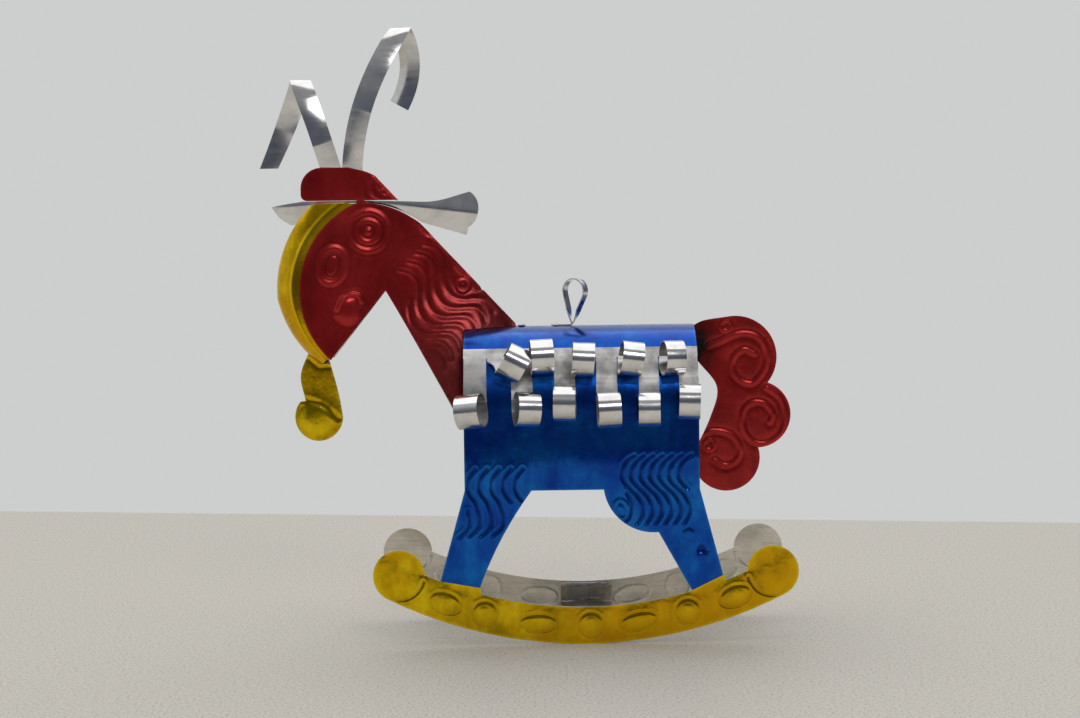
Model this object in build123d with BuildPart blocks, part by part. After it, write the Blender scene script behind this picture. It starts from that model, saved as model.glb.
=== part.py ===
from build123d import *
import math
import os

os.makedirs("parts", exist_ok=True)

# A rocking goat ornament of tinplate sheet, cut, folded, curled and soldered.
# Frame: X runs from head to tail, +Z is up, and the origin lies on the table,
# midway between the two rockers, under the middle of their curve. Millimetres.

# Half a turn, in degrees
HALF_TURN = 180.0

# Sheet and fits
SHEET = 0.4
SOLDER_FIT = 0.1
SLIT = 0.3

# Rockers and the strap between them
ROCKER_RADIUS = 135.5
ROCKER_HEIGHT = 11.5
DISC_RADIUS = 8.0
DISC_SPAN = 115.4
LEG_LAP = 6.0
TAB_RISE = 1.9
STRAP_X = 0.9
STRAP_WIDTH = 16.8
STRAP_LIFT = 4.0
STRAP_TAB = 6.0
STRAP_BEND = 1.2

# Body sheet, bent to an arch
BODY_WIDTH = 48.0
BODY_LENGTH = 72.4
BODY_TOP = 97.3
BODY_FRONT = -37.0
BELLY_HEIGHT = 47.8
SNIP = 0.6

# Legs, cut in one with the body
ANKLE_HEIGHT = 18.5
FRONT_LEG_TOP = 20.6
FRONT_LEG_BOTTOM = 12.8
FRONT_LEG_SLANT = 0.283
FRONT_LEG_HOLLOW = 1.3
THIGH_RADIUS = 15.6
THIGH_BACK = 14.1
THIGH_RISE = 2.1
REAR_LEG_TOP = 12.8
REAR_LEG_BOTTOM = 11.6
REAR_LEG_SLANT = 0.259

# Head and neck, one sheet folded on a straight crest
CREST_SETBACK = 17.0
CREST_ANGLE = 47.3
CREST_LENGTH = 66.0
FOLD_RADIUS = 0.8
NECK_TUCK = 6.0
NECK_DEPTH = 30.5
JAW_FLARE = 0.16
JAW_AT = 0.8
CHIN_FLARE = 0.11
CROWN_FLARE = 0.03
FACE_RADIUS = 30.0
FACE_CENTRE_X = -38.4
FACE_CENTRE_Z = 12.1
BROW_ANGLE = 113.5
CHIN_ANGLE = 226.5
JAW_X = -41.7
JAW_Z = 12.0
NECK_FRONT_SLOPE = 1.713
CAP_HEIGHT = 10.4
CAP_LENGTH = 19.8
CAP_CORNER = 6.5
BRIDGE = 2.2
EAR_SLOT = 0.8
EAR_WINDOW = 14.0
WINDOW_RISE = 1.5

# Face band with the beard
BAND_LAP = 1.5
BAND_BULGE = 7.8
BAND_FULL_TO = 175.0
BAND_CHIN_BULGE = 3.6
BAND_FIT = 0.25
BAND_STATIONS = 11
BAND_FLATS = 12
BAND_OVERRUN = 6.0
BAND_SHORT = 2.0
BEARD_WIDTH = 10.2
BEARD_LENGTH = 26.0
BEARD_LOBE = 7.6
BEARD_LOBE_X = -4.7
BEARD_SEAT = 3.0
BEARD_WAIST = 5.2
BEARD_WAIST_X = -8.8

# Horns: one forked strip
HORN_WIDTH = 6.4
HORN_ROOT = 7.0
HORN_FORK = 6.9
HORN_SETBACK = 6.8
FRONT_HORN_HEIGHT = 27.6
FRONT_HORN_LEAN = 9.4
FRONT_HORN_ROLL = 4.0
FRONT_HORN_DROP = 27.5
FRONT_HORN_DROP_LEAN = 11.0
REAR_HORN_HEIGHT = 43.6
REAR_HORN_LEAN = 15.7
REAR_HORN_BOW = 3.2
REAR_HORN_ROLL = 5.0
REAR_HORN_DROP = 24.0
REAR_HORN_HOOK = 1.2
REAR_HORN_HOOK_BOW = 3.0
REAR_HORN_END_SLANT = 2.9

# Ears: one creased strip with a leaf at each end
EAR_OFFSET = 2.8
EAR_SKEW = 14.0
EAR_CREASE = 0.28
EAR_WAIST = 0.7
EAR_WAIST_LENGTH = 5.0
REAR_EAR_DIP = 6.8
REAR_EAR_TOP = (12.7, 0.0)
REAR_EAR_BEND = (23.1, -0.4)
REAR_EAR_TIP = (34.3, 2.4)
REAR_EAR_END = (37.3, -3.4)
REAR_EAR_TIP_LOW = (33.6, -8.8)
REAR_EAR_BARB = (33.0, -11.2)
REAR_EAR_BELLY = (23.9, -8.6)
FRONT_EAR_DIP = 3.2
FRONT_EAR_TOP = (-20.7, 0.0)
FRONT_EAR_TIP = (-31.3, -1.7)
FRONT_EAR_BARB = (-25.0, -7.6)
FRONT_EAR_BELLY = (-18.8, -6.2)

# Tail: a flat plate cut in three scrolls
TAIL_ROOT = 7.5
TAIL_ROOT_HEIGHT = 11.4
TAIL_HEEL = 1.4
TAIL_CROWN = (10.9, 2.1)
TAIL_TOP_SIDE = (24.8, -4.5)
TAIL_UPPER_CUSP = (23.5, -19.0)
TAIL_MIDDLE_SIDE = (30.7, -29.2)
TAIL_LOWER_CUSP = (20.4, -39.7)
TAIL_FOOT = (9.6, -53.4)
TAIL_INNER_END = (-0.4, -41.5)
TAIL_INNER_LOW = (5.1, -30.1)
TAIL_INNER_HIGH = (7.4, -20.3)

# Curled fringes on the shoulders, angles counted from the ridge
FRINGE_START = 43.0
COMB_START = 52.0
HIGH_CURL_AT = 60.0
LOW_CURL_AT = 90.0
FINGERS = 11
CURL_RADIUS = 5.6
CURL_TIGHTEN = 0.7
CURL_TURN = 330.0
CURL_FLATS = 22

# Hanging loop
LOOP_X = -2.9
LOOP_STRIP = 2.5
LOOP_FOOT = 5.0
LOOP_HEIGHT = 14.6
LOOP_RADIUS = 3.9
LOOP_LEAN = 1.3
LOOP_END_GAP = 1.5

# Solder
BEAD = 1.2
BEAD_HEIGHT = 0.6
NECK_BEAD = 2.2

# Places that follow from the sizes above
half_width = BODY_WIDTH / 2
inner_width = half_width - SHEET
spring_height = BODY_TOP - half_width
body_rear = BODY_FRONT + BODY_LENGTH
body_centre = BODY_FRONT + BODY_LENGTH / 2
rocker_top_radius = ROCKER_RADIUS - ROCKER_HEIGHT
leg_end_radius = rocker_top_radius + LEG_LAP
crest_foot_x = BODY_FRONT + CREST_SETBACK

# Lengths that reach past the whole ornament, and past a sheet's edge, for trimming cuts
reach = 2 * ROCKER_RADIUS
OUTSIDE = 4.0

head_plane = Plane(origin=(crest_foot_x, 0, BODY_TOP), x_dir=(1, 0, 0), z_dir=(0, -1, 0))
tail_plane = Plane(origin=(body_rear, 0, BODY_TOP), x_dir=(1, 0, 0), z_dir=(0, -1, 0))


def finish(builder, name):
    """Label a finished piece and write it."""
    builder.part.label = name
    export_step(builder.part, f"parts/{name}.step")


def arch_outline(radius):
    """The body's cross-section outline, a half disc on straight sides, down to the table."""
    with BuildSketch() as outline:
        with BuildLine():
            Polyline((radius, spring_height), (radius, 0), (-radius, 0), (-radius, spring_height))
            ThreePointArc((-radius, spring_height), (0, spring_height + radius), (radius, spring_height))
        make_face()
    return outline.sketch


# Front leg outline points
front_hip = BODY_FRONT + FRONT_LEG_TOP
front_ankle = BODY_FRONT - FRONT_LEG_SLANT * (BELLY_HEIGHT - ANKLE_HEIGHT)
front_toe = front_ankle - FRONT_LEG_SLANT * ANKLE_HEIGHT
front_heel = front_ankle + FRONT_LEG_BOTTOM
front_heel_toe = front_heel - FRONT_LEG_SLANT * ANKLE_HEIGHT
hollow_x = (front_hip + front_heel) / 2 - FRONT_LEG_HOLLOW
hollow_z = (BELLY_HEIGHT + ANKLE_HEIGHT) / 2

# Rear leg outline points
thigh_x = body_rear - THIGH_BACK
thigh_z = BELLY_HEIGHT + THIGH_RISE
thigh_start = thigh_x - math.sqrt(THIGH_RADIUS**2 - THIGH_RISE**2)
knee_x = body_rear - REAR_LEG_TOP
knee_z = thigh_z - math.sqrt(THIGH_RADIUS**2 - (knee_x - thigh_x) ** 2)
thigh_diagonal = THIGH_RADIUS / math.sqrt(2)
thigh_side = (thigh_x - thigh_diagonal, thigh_z - thigh_diagonal)
rear_heel = body_rear + REAR_LEG_SLANT * (BELLY_HEIGHT - ANKLE_HEIGHT)
rear_heel_toe = rear_heel + REAR_LEG_SLANT * ANKLE_HEIGHT
rear_ankle = rear_heel - REAR_LEG_BOTTOM
rear_slope = (rear_ankle - knee_x) / (knee_z - ANKLE_HEIGHT)
rear_toe = rear_ankle + rear_slope * ANKLE_HEIGHT


def leg_outlines():
    """Side outlines of the front and the rear leg, from the belly line down to the table."""
    with BuildSketch() as legs:
        with BuildLine():
            Polyline((front_hip, BELLY_HEIGHT), (BODY_FRONT, BELLY_HEIGHT), (front_toe, 0))
            Polyline((front_toe, 0), (front_heel_toe, 0), (front_heel, ANKLE_HEIGHT))
            ThreePointArc((front_heel, ANKLE_HEIGHT), (hollow_x, hollow_z), (front_hip, BELLY_HEIGHT))
        make_face()
        with BuildLine():
            ThreePointArc((thigh_start, BELLY_HEIGHT), thigh_side, (knee_x, knee_z))
            Polyline((knee_x, knee_z), (rear_ankle, ANKLE_HEIGHT), (rear_toe, 0), (rear_heel_toe, 0))
            Polyline((rear_heel_toe, 0), (body_rear, BELLY_HEIGHT), (thigh_start, BELLY_HEIGHT))
        make_face()
    return legs.sketch


# Body with its four legs: an arched sheet trimmed to the side outline
snip_places = [(x, BELLY_HEIGHT) for x in (BODY_FRONT, front_hip, thigh_start, body_rear)]
with BuildPart() as body_shell:
    with BuildSketch(Plane.YZ):
        add(arch_outline(half_width))
        add(arch_outline(inner_width), mode=Mode.SUBTRACT)
    extrude(amount=reach, both=True)
    with BuildSketch(Plane.XZ):
        with Locations((body_centre, BELLY_HEIGHT)):
            Rectangle(BODY_LENGTH, reach, align=(Align.CENTER, Align.MIN))
        add(leg_outlines())
        with Locations((0, ROCKER_RADIUS)):
            Circle(leg_end_radius, mode=Mode.INTERSECT)
        with Locations(*snip_places):
            Circle(SNIP, mode=Mode.SUBTRACT)
    extrude(amount=reach, both=True, mode=Mode.INTERSECT)
finish(body_shell, "body_shell")


# Rockers: a curved band with a disc at each end and a raised tab at each leg
disc_angle = math.degrees(math.asin(DISC_SPAN / 2 / (ROCKER_RADIUS - DISC_RADIUS)))
disc_lift = ROCKER_RADIUS - math.sqrt((ROCKER_RADIUS - DISC_RADIUS) ** 2 - (DISC_SPAN / 2) ** 2)


def rocker_top(x):
    """Height of the rocker's top edge at x."""
    return ROCKER_RADIUS - math.sqrt(rocker_top_radius**2 - x**2)


def rocker_outline():
    """A rocker's side outline."""
    side_x = reach * math.tan(math.radians(disc_angle))
    with BuildSketch() as outline:
        with Locations((0, ROCKER_RADIUS)):
            Circle(ROCKER_RADIUS)
            Circle(rocker_top_radius, mode=Mode.SUBTRACT)
            Polygon((0, 0), (-side_x, -reach), (side_x, -reach), align=None, mode=Mode.INTERSECT)
        with Locations((-DISC_SPAN / 2, disc_lift), (DISC_SPAN / 2, disc_lift)):
            Circle(DISC_RADIUS)
        for low, high in ((front_ankle, front_heel), (rear_ankle, rear_heel)):
            Polygon(
                (low, rocker_top(low) - SHEET),
                (high, rocker_top(high) - SHEET),
                (high, rocker_top(high) + TAB_RISE),
                (low, rocker_top(low)),
                align=None,
            )
    return outline.sketch


with BuildPart() as rocker_left:
    with BuildSketch(Plane.XZ.offset(half_width)):
        add(rocker_outline())
    extrude(amount=SHEET)
finish(rocker_left, "rocker_left")

with BuildPart() as rocker_right:
    with BuildSketch(Plane.XZ.offset(-half_width)):
        add(rocker_outline())
    extrude(amount=-SHEET)
finish(rocker_right, "rocker_right")

# Strap that holds the rockers apart, with a tab turned up at each end
strap_y = half_width - SHEET / 2
strap_z = STRAP_LIFT + SHEET / 2
strap_top = STRAP_LIFT + STRAP_TAB
with BuildPart() as cross_strap:
    with BuildSketch(Plane.YZ.offset(STRAP_X)):
        with BuildLine():
            FilletPolyline(
                (-strap_y, strap_top),
                (-strap_y, strap_z),
                (strap_y, strap_z),
                (strap_y, strap_top),
                radius=STRAP_BEND,
            )
        trace(line_width=SHEET)
    extrude(amount=STRAP_WIDTH / 2, both=True)
finish(cross_strap, "cross_strap")


# Head and neck: the sheet's two halves spread from a straight crest. A station s counts
# along the crest from its foot on the body, and d counts square to it, towards the face.
crest_cos = math.cos(math.radians(CREST_ANGLE))
crest_sin = math.sin(math.radians(CREST_ANGLE))
fold_inner = FOLD_RADIUS - SHEET
fold_reach = FACE_RADIUS + NECK_DEPTH
neck_front_x = BODY_FRONT - crest_foot_x
neck_front_z = JAW_Z - NECK_FRONT_SLOPE * (neck_front_x - JAW_X)
tuck_x = neck_front_x + NECK_TUCK


def crest_place(x, z):
    """Station and distance of a point in the head's side view."""
    return -x * crest_cos + z * crest_sin, -x * crest_sin - z * crest_cos


def face_place(radius, angle):
    """A point at an angle about the face's centre, in the head's side view."""
    turn = math.radians(angle)
    return FACE_CENTRE_X + radius * math.cos(turn), FACE_CENTRE_Z + radius * math.sin(turn)


chin_point = face_place(FACE_RADIUS, CHIN_ANGLE)
brow_point = face_place(FACE_RADIUS, BROW_ANGLE)
tuck_station = crest_place(tuck_x, neck_front_z)[0]
neck_distance = crest_place(neck_front_x, neck_front_z)[1]
neck_flare = (inner_width - FOLD_RADIUS - SOLDER_FIT) / neck_distance
chin_station = crest_place(*chin_point)[0]
brow_station = crest_place(*brow_point)[0]
flares = [
    (tuck_station, neck_flare),
    (chin_station * JAW_AT, JAW_FLARE),
    (chin_station, CHIN_FLARE),
    (brow_station - FOLD_RADIUS, JAW_FLARE),
    (brow_station + CAP_HEIGHT, CROWN_FLARE),
    (CREST_LENGTH + CAP_LENGTH, CROWN_FLARE),
]


def flare_at(s):
    """Spread of one half per millimetre from the crest, at station s."""
    for (s0, f0), (s1, f1) in zip(flares, flares[1:]):
        if s <= s1:
            break
    return f0 + (f1 - f0) * (s - s0) / (s1 - s0)


def half_gap(x, z):
    """Distance from the middle plane to a half's inner face, at a point in the head's side view."""
    s, d = crest_place(x, z)
    angle = math.atan(flare_at(s))
    return fold_inner * math.cos(angle) + (d - FOLD_RADIUS + fold_inner * math.sin(angle)) * math.tan(angle)


def fold_section(flare):
    """The folded sheet's cross-section: a nose of three short flats and two straight flanks."""
    angle = math.atan(flare)
    ends = []
    with BuildSketch() as section:
        with BuildLine():
            for radius in (FOLD_RADIUS, fold_inner):
                shoulder = Vector(radius * math.cos(angle), FOLD_RADIUS - radius * math.sin(angle))
                flank = (fold_reach - shoulder.Y) / math.cos(angle)
                end = shoulder + Vector(math.sin(angle), math.cos(angle)) * flank
                nose = Vector(radius / 2, FOLD_RADIUS - radius)
                half = [end, shoulder, nose]
                Polyline(*half, *[(-place.X, place.Y) for place in reversed(half)])
                ends.append(end)
            Line(*ends)
            Line(*[(-end.X, end.Y) for end in ends])
        make_face()
    return section.sketch


cap_bottom = brow_point[1] + EAR_SLOT
cap_top = cap_bottom + CAP_HEIGHT
cap_left = brow_point[0] - CAP_LENGTH + BRIDGE
crest_top = (-CREST_LENGTH * crest_cos, CREST_LENGTH * crest_sin)
crest_top_out = (crest_top[0] + OUTSIDE * crest_sin, crest_top[1] + OUTSIDE * crest_cos)
crest_window_top = (-brow_point[1] * crest_cos / crest_sin, cap_bottom)
window_low_station = crest_place(*crest_window_top)[0] - EAR_WINDOW
window_low = (-window_low_station * crest_cos, window_low_station * crest_sin)
window_low_out = (window_low[0] + OUTSIDE * crest_sin, window_low[1] + OUTSIDE * crest_cos)
window_root = (brow_point[0] + BRIDGE, brow_point[1])


def head_outline():
    """The head and neck in side view: cap, face, jaw and neck front, with a window for the ears."""
    with BuildSketch() as outline:
        with BuildLine():
            Polyline(
                (OUTSIDE * crest_sin, -OUTSIDE),
                (OUTSIDE * crest_sin, OUTSIDE * crest_cos),
                crest_top_out,
                (crest_top[0], cap_top),
                (cap_left + CAP_CORNER, cap_top),
            )
            corner = JernArc((cap_left + CAP_CORNER, cap_top), (-1, 0), CAP_CORNER, 90)
            Polyline(corner @ 1, (cap_left, cap_bottom), (brow_point[0], cap_bottom), brow_point)
            CenterArc((FACE_CENTRE_X, FACE_CENTRE_Z), FACE_RADIUS, BROW_ANGLE, CHIN_ANGLE - BROW_ANGLE)
            Polyline(
                chin_point,
                (JAW_X, JAW_Z),
                (neck_front_x, neck_front_z),
                (tuck_x, neck_front_z),
                (tuck_x, -OUTSIDE),
                (OUTSIDE * crest_sin, -OUTSIDE),
            )
        make_face()
        with BuildLine():
            Polyline(
                window_root,
                (window_root[0], cap_bottom),
                (crest_window_top[0] + OUTSIDE, cap_bottom),
                window_low_out,
                window_low,
            )
            SagittaArc(window_low, window_root, -WINDOW_RISE)
        make_face(mode=Mode.SUBTRACT)
    return outline.sketch


with BuildPart() as head_neck_shell:
    for station, flare in flares:
        plane = Plane(
            origin=(crest_foot_x - station * crest_cos, 0, BODY_TOP + station * crest_sin),
            x_dir=(0, 1, 0),
            z_dir=(-crest_cos, 0, crest_sin),
        )
        with BuildSketch(plane):
            add(fold_section(flare))
    loft(ruled=True)
    with BuildSketch(head_plane):
        add(head_outline())
    extrude(amount=reach, both=True, mode=Mode.INTERSECT)
    with BuildSketch(Plane.YZ.offset(BODY_FRONT + NECK_TUCK)):
        add(arch_outline(half_width + SOLDER_FIT))
    extrude(amount=reach, mode=Mode.SUBTRACT)
    with BuildSketch(Plane.YZ.offset(BODY_FRONT - SOLDER_FIT)):
        add(arch_outline(half_width + SOLDER_FIT))
        add(arch_outline(inner_width - SOLDER_FIT), mode=Mode.SUBTRACT)
    extrude(amount=NECK_TUCK + SOLDER_FIT, mode=Mode.SUBTRACT)
finish(head_neck_shell, "head_neck_shell")


# Face band: a strip bulging between the two halves' front edges, and the beard that hangs from it
band_first = BROW_ANGLE - BAND_OVERRUN
band_step = (CHIN_ANGLE - BAND_SHORT - band_first) / (BAND_STATIONS - 1)
face_centre = Vector(crest_foot_x + FACE_CENTRE_X, 0, BODY_TOP + FACE_CENTRE_Z)
beard_plane = Plane(
    origin=(crest_foot_x + chin_point[0], 0, BODY_TOP + chin_point[1]), x_dir=(1, 0, 0), z_dir=(0, -1, 0)
)
beard_lobe_z = BEARD_LOBE - BEARD_LENGTH


def half_ellipse(depth, width):
    """Points round half an ellipse, from its left edge over the front to its right edge."""
    turns = [math.radians(HALF_TURN * (number / BAND_FLATS - 0.5)) for number in range(BAND_FLATS + 1)]
    return [(depth * math.cos(turn), width * math.sin(turn)) for turn in turns]


def band_section(angle):
    """The band's cross-section: two straight laps joined by half an ellipse of short flats."""
    slack = max(0.0, angle - BAND_FULL_TO) / (CHIN_ANGLE - BAND_FULL_TO)
    bulge = BAND_BULGE + (BAND_CHIN_BULGE - BAND_BULGE) * slack
    lap_gap = half_gap(*face_place(FACE_RADIUS - BAND_LAP, angle))
    edge_gap = half_gap(*face_place(FACE_RADIUS, angle))
    outer = min(lap_gap, edge_gap) - BAND_FIT
    inner = outer - SHEET
    with BuildSketch() as section:
        with BuildLine():
            Polyline((-BAND_LAP, -outer), *half_ellipse(bulge, outer), (-BAND_LAP, outer))
            Polyline((-BAND_LAP, -inner), *half_ellipse(bulge - SHEET, inner), (-BAND_LAP, inner))
            Line((-BAND_LAP, -outer), (-BAND_LAP, -inner))
            Line((-BAND_LAP, outer), (-BAND_LAP, inner))
        make_face()
    return section.sketch


def beard_outline():
    """The beard: a leaf drawn in above a round lobe, its seat reaching up inside the band."""
    waist = (BEARD_WAIST_X, beard_lobe_z + BEARD_WAIST)
    lobe_side = (BEARD_LOBE_X + BEARD_LOBE, beard_lobe_z)
    seat_front = (BEARD_SEAT - BEARD_WIDTH, BEARD_SEAT)
    seat_back = (-BEARD_SEAT / 2, BEARD_SEAT / 2)
    with BuildSketch() as outline:
        with BuildLine():
            Spline(seat_front, (-BEARD_WIDTH, -BEARD_WIDTH / 2), waist)
            Polyline(waist, (BEARD_LOBE_X, beard_lobe_z), lobe_side)
            Spline(lobe_side, (BEARD_SEAT / 2, -BEARD_WIDTH), seat_back)
            Line(seat_back, seat_front)
        make_face()
        with Locations((BEARD_LOBE_X, beard_lobe_z)):
            Circle(BEARD_LOBE)
    return outline.sketch


with BuildPart() as face_band:
    for number in range(BAND_STATIONS):
        angle = band_first + number * band_step
        radial = Vector(math.cos(math.radians(angle)), 0, math.sin(math.radians(angle)))
        plane = Plane(origin=face_centre + radial * FACE_RADIUS, x_dir=radial, z_dir=(-radial.Z, 0, radial.X))
        with BuildSketch(plane):
            add(band_section(angle))
    loft(ruled=True)
    with BuildSketch(head_plane):
        with Locations((0, brow_point[1])):
            Rectangle(reach, reach, align=(Align.CENTER, Align.MIN))
    extrude(amount=reach, both=True, mode=Mode.SUBTRACT)
    with BuildSketch(beard_plane):
        add(beard_outline())
    extrude(amount=SHEET / 2, both=True)
finish(face_band, "face_band")


# Horns: one forked strip, its root between the cap's two layers, both arms rolled over to the right
horn_base_z = BODY_TOP + cap_top
rear_horn_x = crest_foot_x + crest_top[0] - HORN_SETBACK
front_horn_x = rear_horn_x - HORN_FORK


def cane_profile(top_z, roll, end_z):
    """Edge view of an arm: straight up, over a half turn and down again."""
    with BuildSketch() as profile:
        with BuildLine():
            Line((0, horn_base_z - HORN_ROOT), (0, top_z - roll))
            ThreePointArc((0, top_z - roll), (roll, top_z), (2 * roll, top_z - roll))
            Line((2 * roll, top_z - roll), (2 * roll, end_z))
        trace(line_width=SHEET)
    return profile.sketch


def strip_outline(low, high, bow, slant):
    """Side view of one stretch of an arm between two places, bowed and with a slanted end."""
    half = HORN_WIDTH / 2
    middle_x = (low[0] + high[0]) / 2 + bow
    middle_z = (low[1] + high[1]) / 2
    with BuildSketch() as outline:
        with BuildLine():
            Line((low[0] - half, low[1] + slant / 2), (low[0] + half, low[1] - slant / 2))
            ThreePointArc(
                (low[0] + half, low[1] - slant / 2), (middle_x + half, middle_z), (high[0] + half, high[1])
            )
            Line((high[0] + half, high[1]), (high[0] - half, high[1]))
            ThreePointArc(
                (high[0] - half, high[1]), (middle_x - half, middle_z), (low[0] - half, low[1] + slant / 2)
            )
        make_face()
    return outline.sketch


def horn_stretch(profile, outline, y, depth):
    """The bent strip within a side outline, over a depth from y towards the right."""
    with BuildPart() as stretch:
        with BuildSketch(Plane.YZ):
            add(profile)
        extrude(amount=reach, both=True)
        with BuildSketch(Plane.XZ.offset(-y)):
            add(outline)
        extrude(amount=-depth, mode=Mode.INTERSECT)
    return stretch.part


def horn_arm(base_x, height, lean, bow, roll, drop, drop_lean, drop_bow, slant):
    """One whole arm: its rising stretch and its falling stretch, which meet on top of the roll."""
    top = (base_x + lean, horn_base_z + height + SHEET)
    end = (top[0] + drop_lean, horn_base_z + height - drop)
    profile = cane_profile(horn_base_z + height, roll, horn_base_z)
    rising = horn_stretch(profile, strip_outline((base_x, horn_base_z), top, bow, 0), -SHEET, roll + SHEET)
    falling = horn_stretch(profile, strip_outline(end, top, drop_bow, slant), roll, roll + SHEET)
    return rising, falling


with BuildPart() as horns:
    with BuildSketch(Plane.XZ):
        with Locations(((front_horn_x + rear_horn_x) / 2, horn_base_z)):
            Rectangle(HORN_WIDTH + HORN_FORK, HORN_ROOT, align=(Align.CENTER, Align.MAX))
    extrude(amount=SHEET / 2, both=True)
    add(
        horn_arm(
            front_horn_x,
            FRONT_HORN_HEIGHT,
            -FRONT_HORN_LEAN,
            SHEET,
            FRONT_HORN_ROLL,
            FRONT_HORN_DROP,
            -FRONT_HORN_DROP_LEAN,
            SHEET,
            0,
        )
    )
    add(
        horn_arm(
            rear_horn_x,
            REAR_HORN_HEIGHT,
            REAR_HORN_LEAN,
            -REAR_HORN_BOW,
            REAR_HORN_ROLL,
            REAR_HORN_DROP,
            -REAR_HORN_HOOK,
            REAR_HORN_HOOK_BOW,
            REAR_HORN_END_SLANT,
        )
    )
finish(horns, "horns")

# Ears: a creased strip pushed through the windows behind the brow, one leaf to each side
skew_cos = math.cos(math.radians(EAR_SKEW))
skew_sin = math.sin(math.radians(EAR_SKEW))
ear_plane = Plane(
    origin=(crest_foot_x + window_root[0], EAR_OFFSET, BODY_TOP + cap_bottom - SOLDER_FIT),
    x_dir=(skew_cos, -skew_sin, 0),
    z_dir=(-skew_sin, -skew_cos, 0),
)


def ear_fold_plane(dip):
    """Plane square to an ear's crease."""
    along = ear_plane.x_dir.rotate(Axis((0, 0, 0), ear_plane.z_dir), dip)
    return Plane(origin=ear_plane.origin, x_dir=ear_plane.z_dir.cross(along), z_dir=along)


def rear_leaf():
    """The rear ear: a leaf that widens to a round end with a barb below."""
    waist = (EAR_WAIST_LENGTH, -EAR_WAIST)
    with BuildSketch() as leaf:
        with BuildLine():
            Polyline(waist, (0, -EAR_WAIST), (0, 0), REAR_EAR_TOP)
            Spline(REAR_EAR_TOP, REAR_EAR_BEND, REAR_EAR_TIP)
            ThreePointArc(REAR_EAR_TIP, REAR_EAR_END, REAR_EAR_TIP_LOW)
            Polyline(REAR_EAR_TIP_LOW, REAR_EAR_BARB, REAR_EAR_BELLY)
            Spline(REAR_EAR_BELLY, waist, tangents=[(-2, 1), (-1, 0)])
        make_face()
    return leaf.sketch


def front_leaf():
    """The front ear: a leaf that widens to a barb and ends in a point."""
    waist = (-EAR_WAIST_LENGTH, -EAR_WAIST)
    with BuildSketch() as leaf:
        with BuildLine():
            Polyline(waist, (0, -EAR_WAIST), (0, 0), FRONT_EAR_TOP, FRONT_EAR_TIP, FRONT_EAR_BARB)
            Line(FRONT_EAR_BARB, FRONT_EAR_BELLY)
            Spline(FRONT_EAR_BELLY, waist, tangents=[(2, 1), (1, 0)])
        make_face()
    return leaf.sketch


leaves = [
    (-REAR_EAR_DIP, REAR_EAR_END[0] + OUTSIDE),
    (FRONT_EAR_DIP, FRONT_EAR_TIP[0] - OUTSIDE),
]
ear_half = OUTSIDE - REAR_EAR_BARB[1]
with BuildPart() as ears:
    for dip, length in leaves:
        with BuildSketch(ear_fold_plane(dip)):
            with BuildLine():
                Polyline((-ear_half, -ear_half * EAR_CREASE), (0, 0), (ear_half, -ear_half * EAR_CREASE))
            trace(line_width=SHEET)
        extrude(amount=length)
    with BuildSketch(ear_plane):
        add(rear_leaf())
        add(front_leaf())
    extrude(amount=reach, both=True, mode=Mode.INTERSECT)
finish(ears, "ears")

# Tail: its root is soldered up under the ridge at the body's rear edge
root_top = -SHEET - SOLDER_FIT
root_bottom = root_top - TAIL_ROOT_HEIGHT
tail_heel = (TAIL_HEEL, root_bottom)
with BuildPart() as tail:
    with BuildSketch(tail_plane):
        with BuildLine():
            Polyline(tail_heel, (-TAIL_ROOT, root_bottom), (-TAIL_ROOT, root_top), (0, root_top))
            Spline((0, root_top), (TAIL_CROWN[0] / 3, TAIL_CROWN[1] / 2), TAIL_CROWN)
            ThreePointArc(TAIL_CROWN, TAIL_TOP_SIDE, TAIL_UPPER_CUSP)
            ThreePointArc(TAIL_UPPER_CUSP, TAIL_MIDDLE_SIDE, TAIL_LOWER_CUSP)
            ThreePointArc(TAIL_LOWER_CUSP, TAIL_FOOT, TAIL_INNER_END)
            Spline(TAIL_INNER_END, TAIL_INNER_LOW, TAIL_INNER_HIGH, tail_heel)
        make_face()
    extrude(amount=SHEET / 2, both=True)
finish(tail, "tail")

# Fringes: a band along each shoulder, slit into fingers that are rolled up in turn high and low
fringe_radius = half_width + SOLDER_FIT + SHEET / 2
finger_pitch = BODY_LENGTH / FINGERS
curl_step = CURL_TURN / CURL_FLATS


def fringe_profile(to_angle, flats):
    """A finger's edge view: along the shoulder from the band's top edge, then rolled outwards."""
    start = math.radians(FRINGE_START)
    with BuildSketch() as profile:
        with BuildLine():
            stretch = JernArc(
                (fringe_radius * math.sin(start), spring_height + fringe_radius * math.cos(start)),
                (math.cos(start), -math.sin(start)),
                fringe_radius,
                FRINGE_START - to_angle,
            )
            place = stretch @ 1
            heading = (stretch % 1).rotate(Axis.Z, curl_step / 2)
            for number in range(flats):
                radius = CURL_RADIUS - CURL_TIGHTEN * number / CURL_FLATS
                flat = Line(place, place + heading * radius * math.radians(curl_step))
                place = flat @ 1
                heading = heading.rotate(Axis.Z, curl_step)
        trace(line_width=SHEET)
    return profile.sketch


with BuildPart() as fringe_right:
    with BuildSketch(Plane.YZ.offset(BODY_FRONT)):
        add(fringe_profile(COMB_START, 0))
    extrude(amount=BODY_LENGTH)
    for finger in range(FINGERS):
        high = finger % 2 == 1
        with BuildSketch(Plane.YZ.offset(BODY_FRONT + finger * finger_pitch + SLIT / 2)):
            add(fringe_profile(HIGH_CURL_AT if high else LOW_CURL_AT, CURL_FLATS))
        extrude(amount=finger_pitch - SLIT)
finish(fringe_right, "fringe_right")

with BuildPart() as fringe_left:
    add(mirror(fringe_right.part, about=Plane.XZ, mode=Mode.PRIVATE))
finish(fringe_left, "fringe_left")

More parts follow.
